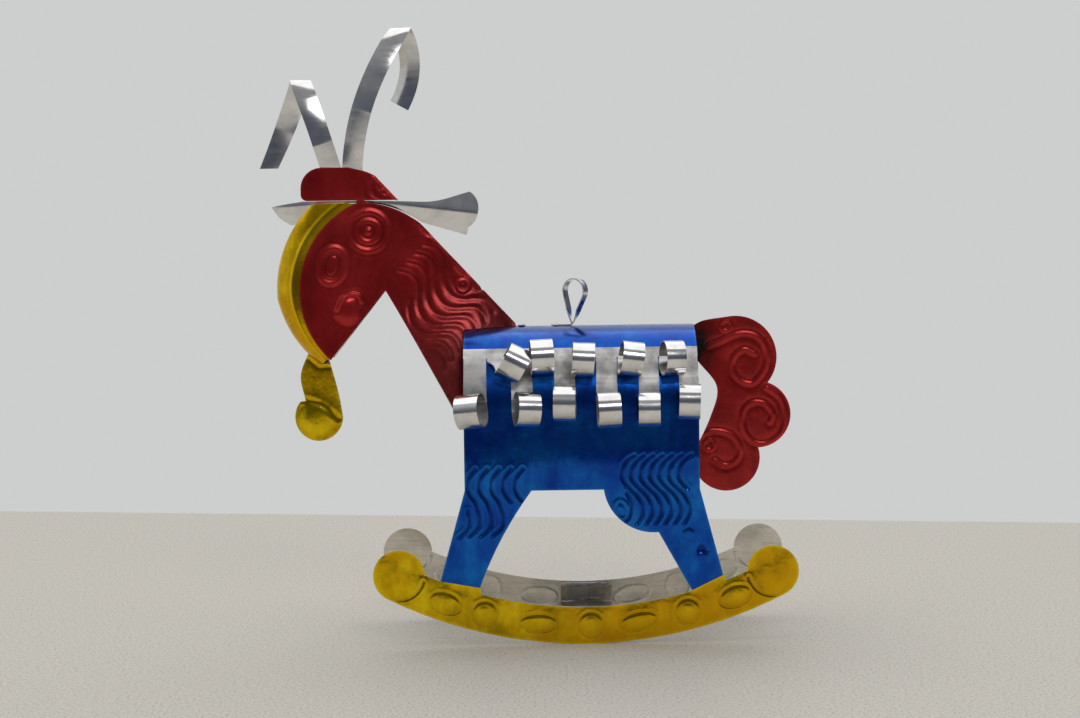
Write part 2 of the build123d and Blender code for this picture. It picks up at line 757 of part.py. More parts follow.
# Hanging loop: a narrow strip bent to a teardrop, its foot soldered on the ridge of the back
loop_z = BODY_TOP + SHEET / 2
foot_end = LOOP_X - LOOP_FOOT
loop_foot = Vector(LOOP_X, loop_z)
loop_centre = Vector(LOOP_X + LOOP_LEAN, loop_z + LOOP_HEIGHT - LOOP_RADIUS)
loop_axis = loop_centre - loop_foot
loop_side = math.sqrt(loop_axis.length**2 - LOOP_RADIUS**2)
loop_spread = math.degrees(math.asin(LOOP_RADIUS / loop_axis.length))
loop_back = loop_foot + loop_axis.normalized().rotate(Axis.Z, -loop_spread) * loop_side
loop_front = loop_foot + loop_axis.normalized().rotate(Axis.Z, loop_spread) * loop_side
loop_top = loop_centre + loop_axis.normalized() * LOOP_RADIUS
loop_tip = loop_foot + (loop_front - loop_foot).normalized() * LOOP_END_GAP
with BuildPart() as hanging_loop:
    with BuildSketch(Plane.XZ):
        with BuildLine():
            Polyline((foot_end, loop_z), loop_foot, loop_back)
            ThreePointArc(loop_back, loop_top, loop_front)
            Line(loop_front, loop_tip)
        trace(line_width=SHEET)
    extrude(amount=LOOP_STRIP / 2, both=True)
finish(hanging_loop, "hanging_loop")

# Solder under the four feet, on the rockers' inner faces
with BuildPart() as solder_legs:
    for side in (1, -1):
        with BuildSketch(Plane.XZ.offset(side * half_width)):
            add(leg_outlines())
            with Locations((0, ROCKER_RADIUS)):
                Circle(leg_end_radius + BEAD, mode=Mode.INTERSECT)
                Circle(leg_end_radius, mode=Mode.SUBTRACT)
        extrude(amount=-side * BEAD_HEIGHT)
finish(solder_legs, "solder_legs")

# Solder along the top of the strap's two tabs
with BuildPart() as solder_strap:
    for side in (1, -1):
        with BuildSketch(Plane.XZ.offset(side * half_width)):
            with Locations((STRAP_X, strap_top)):
                Rectangle(STRAP_WIDTH - 2 * BEAD, BEAD, align=(Align.CENTER, Align.MIN))
        extrude(amount=-side * BEAD_HEIGHT)
finish(solder_strap, "solder_strap")

# Solder in the two corners between the tail's root and the ridge
ridge_under = BODY_TOP - SHEET
with BuildPart() as solder_tail:
    with BuildSketch(Plane.YZ.offset(body_rear - TAIL_ROOT)):
        Polygon(
            (-BEAD - SHEET / 2, ridge_under),
            (BEAD + SHEET / 2, ridge_under),
            (SHEET / 2, ridge_under - BEAD),
            (-SHEET / 2, ridge_under - BEAD),
            align=None,
        )
        add(arch_outline(inner_width), mode=Mode.INTERSECT)
        with Locations((0, BODY_TOP + root_top)):
            Rectangle(SHEET, OUTSIDE, align=(Align.CENTER, Align.MAX), mode=Mode.SUBTRACT)
    extrude(amount=TAIL_ROOT)
finish(solder_tail, "solder_tail")

# Solder at the end of the loop's foot
with BuildPart() as solder_loop:
    with BuildSketch(Plane.XY.offset(BODY_TOP - BEAD)):
        with Locations((foot_end, 0)):
            Circle(LOOP_STRIP / 2 + SHEET)
        with Locations((foot_end, 0)):
            Rectangle(LOOP_FOOT, LOOP_STRIP, align=(Align.MIN, Align.CENTER), mode=Mode.SUBTRACT)
    extrude(amount=BEAD + BEAD_HEIGHT)
    with BuildSketch(Plane.YZ.offset(foot_end - OUTSIDE)):
        add(arch_outline(half_width))
    extrude(amount=2 * OUTSIDE, mode=Mode.SUBTRACT)
finish(solder_loop, "solder_loop")

# Solder behind the crest's foot, where the neck stands on the ridge
with BuildPart() as solder_neck:
    with BuildSketch(Plane.XY.offset(BODY_TOP - BEAD)):
        with Locations((crest_foot_x, 0)):
            Circle(NECK_BEAD)
            Rectangle(NECK_BEAD, 2 * NECK_BEAD, align=(Align.MIN, Align.CENTER), mode=Mode.INTERSECT)
    extrude(amount=BEAD + BEAD_HEIGHT)
    with BuildSketch(Plane.YZ.offset(crest_foot_x)):
        add(arch_outline(half_width))
    extrude(amount=NECK_BEAD, mode=Mode.SUBTRACT)
finish(solder_neck, "solder_neck")
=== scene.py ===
import math

import bpy
import numpy as np
from mathutils import Matrix, Vector
from mathutils.geometry import delaunay_2d_cdt


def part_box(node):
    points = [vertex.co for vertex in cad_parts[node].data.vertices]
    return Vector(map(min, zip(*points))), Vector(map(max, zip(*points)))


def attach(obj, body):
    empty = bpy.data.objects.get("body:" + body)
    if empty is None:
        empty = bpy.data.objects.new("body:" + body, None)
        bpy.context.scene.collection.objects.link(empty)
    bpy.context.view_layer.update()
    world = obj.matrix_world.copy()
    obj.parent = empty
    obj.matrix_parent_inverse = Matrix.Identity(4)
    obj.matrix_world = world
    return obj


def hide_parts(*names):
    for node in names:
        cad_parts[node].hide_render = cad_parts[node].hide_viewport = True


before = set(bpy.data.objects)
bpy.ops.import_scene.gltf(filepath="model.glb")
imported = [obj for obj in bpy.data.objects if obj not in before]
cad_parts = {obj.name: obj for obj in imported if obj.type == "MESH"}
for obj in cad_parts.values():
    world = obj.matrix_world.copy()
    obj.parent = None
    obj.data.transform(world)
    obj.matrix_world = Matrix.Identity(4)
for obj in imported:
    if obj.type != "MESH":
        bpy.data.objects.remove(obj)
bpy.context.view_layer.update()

# A rocking goat ornament of embossed tinplate with translucent lacquer. Lengths are millimetres
# until a mesh is written, and each piece follows the CAD node that it replaces.
MM = 0.001
rng = np.random.default_rng(7)


def node_box(node):
    """A node's lowest and highest corners, in millimetres."""
    low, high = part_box(node)
    return np.array(low) / MM, np.array(high) / MM


# Sheet, and the body's main places, read from the frame
SHEET = 0.4
body_high = node_box("body_shell")[1]
fringe_low, fringe_high = node_box("fringe_left")
half_width = body_high[1]
body_top = body_high[2]
spring_height = body_top - half_width
body_front = fringe_low[0]
body_rear = fringe_high[0]

# Legs
BELLY_HEIGHT = 47.8
ANKLE_HEIGHT = 18.5
FRONT_LEG_TOP = 20.6
FRONT_LEG_BOTTOM = 12.8
FRONT_LEG_SLANT = 0.283
FRONT_LEG_HOLLOW = 1.3
THIGH_RADIUS = 15.6
THIGH_BACK = 14.1
THIGH_RISE = 2.1
REAR_LEG_TOP = 12.8
REAR_LEG_BOTTOM = 11.6
REAR_LEG_SLANT = 0.259

# Rockers
ROCKER_RADIUS = 135.5
ROCKER_HEIGHT = 11.5
DISC_RADIUS = 8.0
DISC_SPAN = 115.4
LEG_LAP = 6.0
TAB_RISE = 1.9
ROCKER_SWELL = 0.24
STRAP_BEND = 1.2
STRAP_BOW = 1.3

# Head
CREST_SETBACK = 17.0
CREST_ANGLE = math.radians(47.3)
FOLD_RADIUS = 0.8
FACE_RADIUS = 30.0
FACE_X = -38.4
FACE_Z = 12.1
BROW_ANGLE = 113.5
CHIN_ANGLE = 226.5
JAW = (-41.7, 12.0)
NECK_FRONT_SLOPE = 1.713
NECK_TUCK = 6.0
CAP_HEIGHT = 10.4
CAP_LENGTH = 19.8
CAP_CORNER = 6.5
CAP_ROUND = 4.5
BRIDGE = 2.2
EAR_SLOT = 0.8
EAR_WINDOW = 14.0
WINDOW_RISE = 2.3
crest_x = body_front + CREST_SETBACK
crest_cos = math.cos(CREST_ANGLE)
crest_sin = math.sin(CREST_ANGLE)


# Outlines

def arc(centre, radius, start, end, count=24):
    """Points on an arc, angles in degrees."""
    turns = np.radians(np.linspace(start, end, count))
    return [(centre[0] + radius * math.cos(t), centre[1] + radius * math.sin(t)) for t in turns]


def three_point_arc(first, middle, last, count=24):
    """Points on the arc through three places."""
    (ax, ay), (bx, by), (cx, cy) = first, middle, last
    d = 2 * (ax * (by - cy) + bx * (cy - ay) + cx * (ay - by))
    a2, b2, c2 = ax * ax + ay * ay, bx * bx + by * by, cx * cx + cy * cy
    ux = (a2 * (by - cy) + b2 * (cy - ay) + c2 * (ay - by)) / d
    uy = (a2 * (cx - bx) + b2 * (ax - cx) + c2 * (bx - ax)) / d
    turns = [math.degrees(math.atan2(y - uy, x - ux)) for x, y in (first, middle, last)]
    through = (turns[1] - turns[0]) % 360
    whole = (turns[2] - turns[0]) % 360
    end = turns[0] + (whole if through <= whole else whole - 360)
    return arc((ux, uy), math.hypot(ax - ux, ay - uy), turns[0], end, count)


def curve(points, count=12):
    """A smooth line through a few places."""
    p = np.array(points, float)
    p = np.vstack([2 * p[0] - p[1], p, 2 * p[-1] - p[-2]])
    share = np.linspace(0, 1, count, endpoint=False)[:, None]
    line = []
    for before, start, end, after in zip(p, p[1:], p[2:], p[3:]):
        bend = 2 * before - 5 * start + 4 * end - after
        twist = 3 * start - before - 3 * end + after
        line += list(0.5 * (2 * start + (end - before) * share + bend * share**2 + twist * share**3))
    line.append(p[-2])
    return [tuple(place) for place in line]


def rail(corners, step):
    """A closed outline with its long edges divided."""
    points = []
    for start, end in zip(corners, corners[1:] + corners[:1]):
        length = math.dist(start, end)
        if length < 1e-4:
            continue
        count = max(1, math.ceil(length / step))
        for k in range(count):
            share = k / count
            points.append((start[0] + (end[0] - start[0]) * share, start[1] + (end[1] - start[1]) * share))
    return points


def inside(places, outline):
    """Which places lie inside a closed outline."""
    odd = np.zeros(len(places), bool)
    ring = np.array(outline)
    x, y = places[:, 0], places[:, 1]
    for (x0, y0), (x1, y1) in zip(ring, np.roll(ring, -1, axis=0)):
        if y0 != y1:
            crosses = (y0 > y) != (y1 > y)
            odd ^= crosses & (x < (x1 - x0) * (y - y0) / (y1 - y0) + x0)
    return odd


def line_distance(places, line, closed=False):
    """Distance from each place to a line."""
    nearest = np.full(len(places), 1e9)
    ring = np.array(line, float)
    ends = np.roll(ring, -1, axis=0)
    if not closed:
        ring, ends = ring[:-1], ends[:-1]
    for start, end in zip(ring, ends):
        along = end - start
        share = np.clip((places - start) @ along / max(along @ along, 1e-12), 0, 1)
        gap = places - start - share[:, None] * along
        nearest = np.minimum(nearest, np.hypot(gap[:, 0], gap[:, 1]))
    return nearest


# Embossing: chased lines and domes, given as (kind, place or line, size, height)

# Height of the lips beside a chased line, as a share of its own, and the limits of all embossing
SHOULDER = 0.4
LOWEST = -0.8
HIGHEST = 1.6
# Width of the edge along which embossing fades out
EDGE_FADE = 0.9


def chased(line, width=0.5, height=-0.2):
    """A chased line: its points, its half width and its height, which is negative for a groove."""
    return "line", np.array(line, float), width, height


def dome(x, y, radius, height, stretch=1.0, turn=0.0):
    """A raised or sunk round place, stretched along a turned axis."""
    return "dome", (x, y, stretch, math.radians(turn)), radius, height


def ring(x, y, radius, stretch=1.0, turn=0.0, width=0.42, height=-0.12):
    """A chased ring or oval."""
    t = np.radians(np.linspace(0, 360, 40))
    a, b = radius * stretch * np.cos(t), radius * np.sin(t)
    c, s = math.cos(math.radians(turn)), math.sin(math.radians(turn))
    return chased(np.stack([x + a * c - b * s, y + a * s + b * c], axis=1), width, height)


def repeated(points, shift, numbers, width=0.5, height=-0.2):
    """Copies of one chased curve, each moved on by the same step."""
    line = np.array(curve(points, 6))
    return [chased(line + np.array(shift) * k, width, height) for k in numbers]


def both_halves(line):
    """A folded sheet's outline, from the line round one half."""
    return line + [(a, -b) for a, b in line[::-1]]


def both_sides(marks, place, handed=1, turn_by=0.0):
    """Side-view marks moved to both halves of a developed sheet, handed -1 where its axes are mirrored."""
    moved = []
    for side in (1, -1):
        for kind, what, size, rise in marks:
            if kind == "line":
                what = np.array([place(x, z) for x, z in what]) * (1, side)
            else:
                a, b = place(*what[:2])
                what = (a, side * b, what[2], side * handed * (what[3] + turn_by))
            moved.append((kind, what, size, rise))
    return moved


def emboss(marks, places):
    """Height of the embossing at each place, and which places are near some of it."""
    height = np.zeros(len(places))
    busy = np.zeros(len(places), bool)
    for kind, what, size, rise in marks:
        if kind == "line":
            margin = 3.4 * size
            near = np.all((places > what.min(0) - margin) & (places < what.max(0) + margin), axis=1)
            gap = line_distance(places[near], what)
            share = gap / size
            height[near] += rise * (np.exp(-(share**2)) - SHOULDER * np.exp(-((share - 1.9) ** 2)))
            busy[near] |= gap < margin
        else:
            x, y, stretch, turn = what
            dx, dy = places[:, 0] - x, places[:, 1] - y
            a = (dx * math.cos(turn) + dy * math.sin(turn)) / stretch
            b = dy * math.cos(turn) - dx * math.sin(turn)
            rho = np.hypot(a, b) / size
            swell = np.clip(1 - rho**2, 0, 1)
            height += rise * swell * swell * (3 - 2 * swell)
            busy |= rho < 1.1
    return np.clip(height, LOWEST, HIGHEST), busy


# Mesh pieces

class Shape:
    """Points, faces and their finishes, gathered for one piece."""

    def __init__(self):
        self.points, self.faces, self.finish = [], [], []
        self.relief, self.edge, self.stain_and_shade = [], [], []
        self.count = 0

    def add(self, points, faces, finish, relief, edge, stain_and_shade=None):
        self.points.append(np.asarray(points))
        self.faces += [tuple(int(i) + self.count for i in face) for face in faces]
        self.finish += finish
        self.relief.append(np.asarray(relief))
        self.edge.append(np.asarray(edge))
        self.stain_and_shade.append(np.zeros(len(points)) if stain_and_shade is None else stain_and_shade)
        self.count += len(points)

    def add_layers(self, outer, inner, triangles, relief, edge, stain_and_shade=None):
        """Two layers of sheet joined by a rim: finishes 0 outside, 1 inside, 2 on the cut edge."""
        corners = np.array(triangles)
        a, b, c = (outer[corners[:, k]] for k in range(3))
        outward = (outer - inner)[corners[:, 0]]
        if np.sum(np.cross(b - a, c - a) * outward) < 0:
            triangles = [face[::-1] for face in triangles]
        used = {}
        for face in triangles:
            for k in range(len(face)):
                used[(face[k], face[(k + 1) % len(face)])] = True
        rim = [(p, q) for p, q in used if (q, p) not in used]
        n = len(outer)
        faces = [tuple(face) for face in triangles]
        faces += [tuple(i + n for i in face[::-1]) for face in triangles]
        faces += [(q, p, p + n, q + n) for p, q in rim]
        finish = [0] * len(triangles) + [1] * len(triangles) + [2] * len(rim)
        stain_and_shade_values = None if stain_and_shade is None else np.tile(stain_and_shade, 2)
        points = np.vstack([outer, inner])
        self.add(points, faces, finish, np.concatenate([relief, -relief]), np.tile(edge, 2), stain_and_shade_values)

    def finish_piece(self, name, looks, nodes, sharp=50):
        """Write the piece, and say what carries it and what it stands for."""
        mesh = bpy.data.meshes.new(name)
        mesh.from_pydata((np.vstack(self.points) * MM).tolist(), [], self.faces)
        for look in looks:
            mesh.materials.append(look)
        mesh.polygons.foreach_set("material_index", np.minimum(self.finish, len(looks) - 1).astype(np.int32))
        for label, values in (("relief", self.relief), ("edge", self.edge), ("stain_and_shade", self.stain_and_shade)):
            layer = mesh.attributes.new(label, "FLOAT", "POINT")
            layer.data.foreach_set("value", np.concatenate(values).astype(np.float32))
        mesh.shade_smooth()
        mesh.set_sharp_from_angle(angle=math.radians(sharp))
        mesh.update()
        piece = bpy.data.objects.new(name, mesh)
        bpy.context.scene.collection.objects.link(piece)
        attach(piece, "root")
        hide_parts(*nodes)
        return piece


def hex_grid(low, high, step):
    """Evenly spread places over a rectangle."""
    rows = np.arange(low[1], high[1], step * 0.866)
    columns = np.arange(low[0], high[0], step)
    x, y = np.meshgrid(columns, rows)
    x[1::2] += step / 2
    return np.stack([x.ravel(), y.ravel()], axis=1)


def fill(outline, holes, marks, step, fine, edge_step):
    """Flat triangles inside an outline, finer where embossed, and each place's distance to the edge."""
    rings = [rail(ring_line, edge_step) for ring_line in (outline, *holes)]
    low, high = np.min(rings[0], axis=0), np.max(rings[0], axis=0)
    coarse = hex_grid(low, high, step)
    groups = [(coarse[~emboss(marks, coarse)[1]], 0.5 * step)]
    if marks:
        finer = hex_grid(low, high, fine)
        groups.append((finer[emboss(marks, finer)[1]], 0.45 * fine))
    kept = []
    for places, margin in groups:
        places = places[inside(places, rings[0])]
        for hole in rings[1:]:
            places = places[~inside(places, hole)]
        for line in rings:
            places = places[line_distance(places, line, closed=True) > min(margin, 0.45 * edge_step)]
        kept.append(places)
    points, edges = [], []
    for line in rings:
        first = len(points)
        points += line
        edges += [(first + k, first + (k + 1) % len(line)) for k in range(len(line))]
    points = np.vstack([np.array(points), *kept])
    flat, _, faces, _, _, _ = delaunay_2d_cdt([Vector(p) for p in points], edges, [], 1, 1e-6)
    flat = np.array([tuple(p) for p in flat])
    faces = np.array([face[:3] for face in faces])
    middles = flat[faces].mean(axis=1)
    keep = inside(middles, rings[0])
    for hole in rings[1:]:
        keep &= ~inside(middles, hole)
    edge = np.full(len(flat), 1e9)
    for line in rings:
        edge = np.minimum(edge, line_distance(flat, line, closed=True))
    return flat, [tuple(face) for face in faces[keep]], edge


def sheet(
    shape, outline, place, holes=(), marks=(), step=2.0, fine=0.42, edge_step=0.8, calm=None, stain_and_shade=None
):
    """Add a cut, embossed and bent sheet to a shape. The embossing fades out at the edges."""
    flat, triangles, edge = fill(outline, holes, marks, step, fine, edge_step)
    relief = emboss(marks, flat)[0] * np.clip(edge / EDGE_FADE, 0, 1)
    if calm is not None:
        relief *= calm(flat)
    outer = place(flat, SHEET / 2 + relief)
    inner = place(flat, -SHEET / 2 + relief)
    stain_and_shade_values = None if stain_and_shade is None else stain_and_shade(flat)
    shape.add_layers(outer, inner, triangles, relief, np.minimum(edge, 9), stain_and_shade_values)


def ribbon(shape, grid, relief=None, outward=None):
    """Add a strip of sheet to a shape, from a grid of places along and across its middle surface."""
    rows, columns, _ = grid.shape
    relief = np.zeros((rows, columns)) if relief is None else relief
    normal = np.cross(np.gradient(grid, axis=0), np.gradient(grid, axis=1))
    normal /= np.maximum(np.linalg.norm(normal, axis=2, keepdims=True), 1e-9)
    if outward is not None and np.sum(normal * outward) < 0:
        normal = -normal
    outer = (grid + normal * (SHEET / 2 + relief)[..., None]).reshape(-1, 3)
    inner = (grid + normal * (relief - SHEET / 2)[..., None]).reshape(-1, 3)
    triangles = []
    for i in range(rows - 1):
        for j in range(columns - 1):
            k = i * columns + j
            triangles += [(k, k + 1, k + columns + 1), (k, k + columns + 1, k + columns)]
    steps = np.linalg.norm(np.diff(grid, axis=1), axis=2)
    across = np.concatenate([np.zeros((rows, 1)), np.cumsum(steps, axis=1)], axis=1)
    side = np.minimum(across, across[:, -1:] - across)
    shape.add_layers(outer, inner, triangles, relief.ravel(), side.ravel())


# Looks

class Wiring:
    """A node tree, wired by short calls."""

    def __init__(self, owner):
        owner.use_nodes = True
        self.tree = owner.node_tree

    def feed(self, node, key, value):
        """Link a socket to a node's input, or write a constant there."""
        if isinstance(value, bpy.types.NodeSocket):
            self.tree.links.new(value, node.inputs[key])
        else:
            node.inputs[key].default_value = value

    def node(self, kind, inputs=None, **settings):
        made = self.tree.nodes.new("ShaderNode" + kind)
        for key, value in settings.items():
            setattr(made, key, value)
        for key, value in (inputs or {}).items():
            self.feed(made, key, value)
        return made

    def noise(self, scale, detail=3.0, stretch=(1, 1, 1), roughness=0.55):
        """Noise over the piece's own places, stretched along its axes."""
        where = self.node("TexCoord").outputs["Object"]
        spread = self.node("Mapping", {"Vector": where, "Scale": stretch})
        inputs = {"Vector": spread.outputs[0], "Scale": scale, "Detail": detail, "Roughness": roughness}
        return self.node("TexNoise", inputs).outputs["Fac"]

    def ramp(self, factor, stops):
        made = self.node("ValToRGB", {"Fac": factor})
        elements = made.color_ramp.elements
        while len(elements) < len(stops):
            elements.new(0.5)
        for element, (place, colour) in zip(elements, stops):
            element.position = place
            element.color = (*colour, 1)
        return made.outputs[0]

    def mix(self, factor, first, second):
        return self.node("Mix", {0: factor, 6: first, 7: second}, data_type="RGBA").outputs[2]

    def spread(self, value, low, high, to_low=0.0, to_high=1.0):
        inputs = {"Value": value, "From Min": low, "From Max": high, "To Min": to_low, "To Max": to_high}
        return self.node("MapRange", inputs).outputs[0]

    def attribute(self, name):
        return self.node("Attribute", attribute_name=name).outputs["Fac"]


class Look(Wiring):
    """A material."""

    def __init__(self, name):
        self.material = bpy.data.materials.new(name)
        super().__init__(self.material)
        self.shader = self.tree.nodes["Principled BSDF"]

    def set(self, key, value):
        self.feed(self.shader, key, value)

    def bump(self, height, strength, distance):
        made = self.node("Bump", {"Height": height, "Strength": strength, "Distance": distance})
        self.set("Normal", made.outputs[0])


WORN = (0.5, 0.47, 0.43, 1)
SOOT = (0.004, 0.004, 0.005, 1)


def lacquer(name, deep, middle, light, metal=1.0, rough=0.2, patch=90, drift=None, waves=0.16):
    """Translucent lacquer on tin: mottled, darker where it pools in the chased lines, worn at the edges,
    with painted highlights and painted shade.
    """
    look = Look(name)
    mottle = look.noise(patch, 6, (1, 1, 0.7), 0.65)
    colour = look.ramp(mottle, [(0.32, deep), (0.5, middle), (0.7, light)])
    if drift:
        colour = look.mix(look.spread(look.noise(24, 2), 0.44, 0.6, 0, 0.6), colour, (*drift, 1))
    streak = look.noise(300, 4, (1, 1, 0.12))
    colour = look.mix(look.spread(streak, 0.48, 0.75, 0, 0.45), colour, (*deep, 1))
    relief = look.attribute("relief")
    groove = (*(0.35 * v for v in deep), 1)
    colour = look.mix(look.spread(relief, -0.03, -0.2, 0, 0.65), colour, groove)
    # Painted highlight: raised places are lightened towards the pale tint.
    colour = look.mix(look.spread(relief, 0.03, 0.25, 0, 0.45), colour, (*light, 1))
    # Paler edges: partly thin, worn lacquer and partly a painted edge highlight.
    edge = look.attribute("edge")
    colour = look.mix(look.spread(edge, 0.9, 0.1, 0, 0.55), colour, (*light, 1))
    bare = look.spread(look.noise(900, 3), 0.58, 0.8, 0, 0.3)
    chips = look.node("Math", {0: edge, 1: bare}, operation="SUBTRACT").outputs[0]
    colour = look.mix(look.spread(chips, 0.0, -0.12, 0, 0.6), colour, WORN)
    # One point attribute darkens the colour: painted shade towards the neck's foot and the body's ridge, and
    # soldering soot on the tail.
    stain_and_shade = look.attribute("stain_and_shade")
    soot_and_shade_tint = (*(0.45 * v for v in deep), 1)
    colour = look.mix(look.spread(stain_and_shade, 0, 0.4, 0, 0.8), colour, soot_and_shade_tint)
    ragged = look.node("Math", {0: stain_and_shade, 1: look.noise(350, 4)}, operation="ADD").outputs[0]
    colour = look.mix(look.spread(ragged, 1.0, 1.2, 0, 0.95), colour, SOOT)
    look.set("Base Color", colour)
    look.set("Metallic", metal)
    look.set("Roughness", look.spread(streak, 0.25, 0.75, rough - 0.05, rough + 0.07))
    look.set("Coat Weight", 0.12)
    look.set("Coat Roughness", 0.06)
    look.bump(look.noise(55, 4), waves, 0.002)
    return look.material


def tin(name, dark, light, low=0.09, high=0.22, blue=False):
    """Bright bare tin with rolling marks, faint discolouring and, on the loop, some blue lacquer."""
    look = Look(name)
    colour = look.ramp(look.noise(150, 5, (1, 1, 1), 0.6), [(0.36, dark), (0.58, light)])
    rolled = look.noise(800, 3, (0.06, 1, 1))
    colour = look.mix(look.spread(rolled, 0.5, 0.78, 0, 0.4), colour, (*dark, 1))
    if blue:
        colour = look.mix(look.spread(look.noise(180, 2), 0.5, 0.56), colour, (0.01, 0.16, 0.62, 1))
    look.set("Base Color", colour)
    look.set("Metallic", 1.0)
    look.set("Roughness", look.spread(rolled, 0.3, 0.7, low, high))
    look.bump(look.noise(50, 2), 0.1, 0.0015)
    return look.material


BLUE = lacquer("blue_lacquer", (0.004, 0.045, 0.38), (0.006, 0.1, 0.52), (0.01, 0.2, 0.68))
RED_TINTS = (0.26, 0.006, 0.006), (0.42, 0.011, 0.01), (0.58, 0.024, 0.026)
RED = lacquer("red_lacquer", *RED_TINTS, metal=0.62, rough=0.22)
AMBER = (0.72, 0.34, 0.002)
YELLOW_TINTS = (0.46, 0.3, 0.002), (0.78, 0.49, 0.003), (0.96, 0.72, 0.01)
YELLOW = lacquer("yellow_lacquer", *YELLOW_TINTS, rough=0.17, patch=140, drift=AMBER, waves=0.18)
TIN = tin("bare_tin", (0.72, 0.71, 0.7), (0.88, 0.87, 0.86))
DULL_TIN = tin("bare_tin_inside", (0.7, 0.67, 0.6), (0.86, 0.82, 0.74), 0.2, 0.32)
LOOP_TIN = tin("bare_tin_loop", (0.72, 0.71, 0.7), (0.88, 0.87, 0.86), blue=True)
# Fringe strips: a duller, rougher tin whose colour is also painted darker as shade, to dim its reflections.
SHADED_STRIP_TIN = tin("bare_tin_strips_shaded", (0.3, 0.29, 0.28), (0.6, 0.59, 0.57), 0.3, 0.45)
# Cross strap: tin painted darker as shade, standing in for the body's dark underside reflected in it.
SHADED_STRAP_TIN = tin("bare_tin_strap_shaded", (0.26, 0.24, 0.21), (0.6, 0.56, 0.5), 0.12, 0.25)
CUT = tin("cut_edge", (0.45, 0.45, 0.45), (0.7, 0.7, 0.7), 0.3, 0.5)
SOLDER = tin("solder", (0.22, 0.22, 0.23), (0.5, 0.5, 0.5), 0.28, 0.5)


# Body: a sheet bent to an arch, its developed form measured along X and round from the ridge

body_middle = half_width - SHEET / 2
quarter = body_middle * math.pi / 2
BARREL = 0.7
BARREL_DROP = 16.0
BARREL_REACH = 14.0
# Strength of the painted shade towards the body's ridge
RIDGE_SHADE = 0.2


def body_place(flat, offset):
    """Bend the developed body sheet over the arch. Positive distances run down the left side."""
    x, run = flat[:, 0], flat[:, 1]
    radius = body_middle + offset
    turn = np.clip(run, -quarter, quarter) / body_middle
    below = np.maximum(np.abs(run) - quarter, 0)
    swell = BARREL * np.exp(-(((below - BARREL_DROP) / BARREL_REACH) ** 2))
    swell *= np.clip(below / BARREL_DROP, 0, 1)
    z = spring_height + radius * np.cos(turn) - below
    return np.stack([x, -(radius + swell) * np.sin(turn), z], axis=1)


foot_radius = ROCKER_RADIUS - ROCKER_HEIGHT + LEG_LAP
front_ankle = body_front - FRONT_LEG_SLANT * (BELLY_HEIGHT - ANKLE_HEIGHT)
front_heel = front_ankle + FRONT_LEG_BOTTOM
rear_heel = body_rear + REAR_LEG_SLANT * (BELLY_HEIGHT - ANKLE_HEIGHT)
rear_ankle = rear_heel - REAR_LEG_BOTTOM


def foot_end(ankle, slope):
    """The place on the feet's curve below an ankle, along a slanted edge."""
    x = ankle
    for _ in range(20):
        z = ROCKER_RADIUS - math.sqrt(foot_radius**2 - x**2)
        x = ankle + slope * (ANKLE_HEIGHT - z)
    return x, z


def foot_line(start, end):
    """A foot's lower edge between two of its ends."""
    across = np.linspace(start[0], end[0], 8)
    return [(x, ROCKER_RADIUS - math.sqrt(foot_radius**2 - x**2)) for x in across]


def leg_lines():
    """Side outlines of the front and the rear leg, each from the belly line round its foot and back."""
    front_hip = body_front + FRONT_LEG_TOP
    hollow = ((front_hip + front_heel) / 2 - FRONT_LEG_HOLLOW, (BELLY_HEIGHT + ANKLE_HEIGHT) / 2)
    toe = foot_end(front_ankle, -FRONT_LEG_SLANT)
    front = [(body_front, BELLY_HEIGHT), toe]
    front += foot_line(toe, foot_end(front_heel, -FRONT_LEG_SLANT))
    front += three_point_arc((front_heel, ANKLE_HEIGHT), hollow, (front_hip, BELLY_HEIGHT))
    thigh_x = body_rear - THIGH_BACK
    thigh_z = BELLY_HEIGHT + THIGH_RISE
    thigh_start = thigh_x - math.sqrt(THIGH_RADIUS**2 - THIGH_RISE**2)
    knee_x = body_rear - REAR_LEG_TOP
    knee_z = thigh_z - math.sqrt(THIGH_RADIUS**2 - (knee_x - thigh_x) ** 2)
    rear_slope = (rear_ankle - knee_x) / (knee_z - ANKLE_HEIGHT)
    knee_turn = math.degrees(math.atan2(knee_z - thigh_z, knee_x - thigh_x))
    start_turn = math.degrees(math.atan2(BELLY_HEIGHT - thigh_z, thigh_start - thigh_x)) % 360 - 360
    rear = arc((thigh_x, thigh_z), THIGH_RADIUS, start_turn, knee_turn, 40)
    rear += [(rear_ankle, ANKLE_HEIGHT)]
    rear += foot_line(foot_end(rear_ankle, rear_slope), foot_end(rear_heel, REAR_LEG_SLANT))
    rear += [(body_rear, BELLY_HEIGHT)]
    return front, rear


# Waves on the legs: half width and depth, and the steps from wave to wave
WAVE_WIDTH = 0.55
REAR_WAVE_DEPTH = -0.27
FRONT_WAVE_DEPTH = -0.26
REAR_WAVE_STEP = 2.92
FRONT_WAVE_STEP = 3.65


def wave(x, z, points, depth):
    """One chased wave, from a place in side view."""
    return chased(curve([(x + dx, z + dz) for dx, dz in points], 6), WAVE_WIDTH, depth)


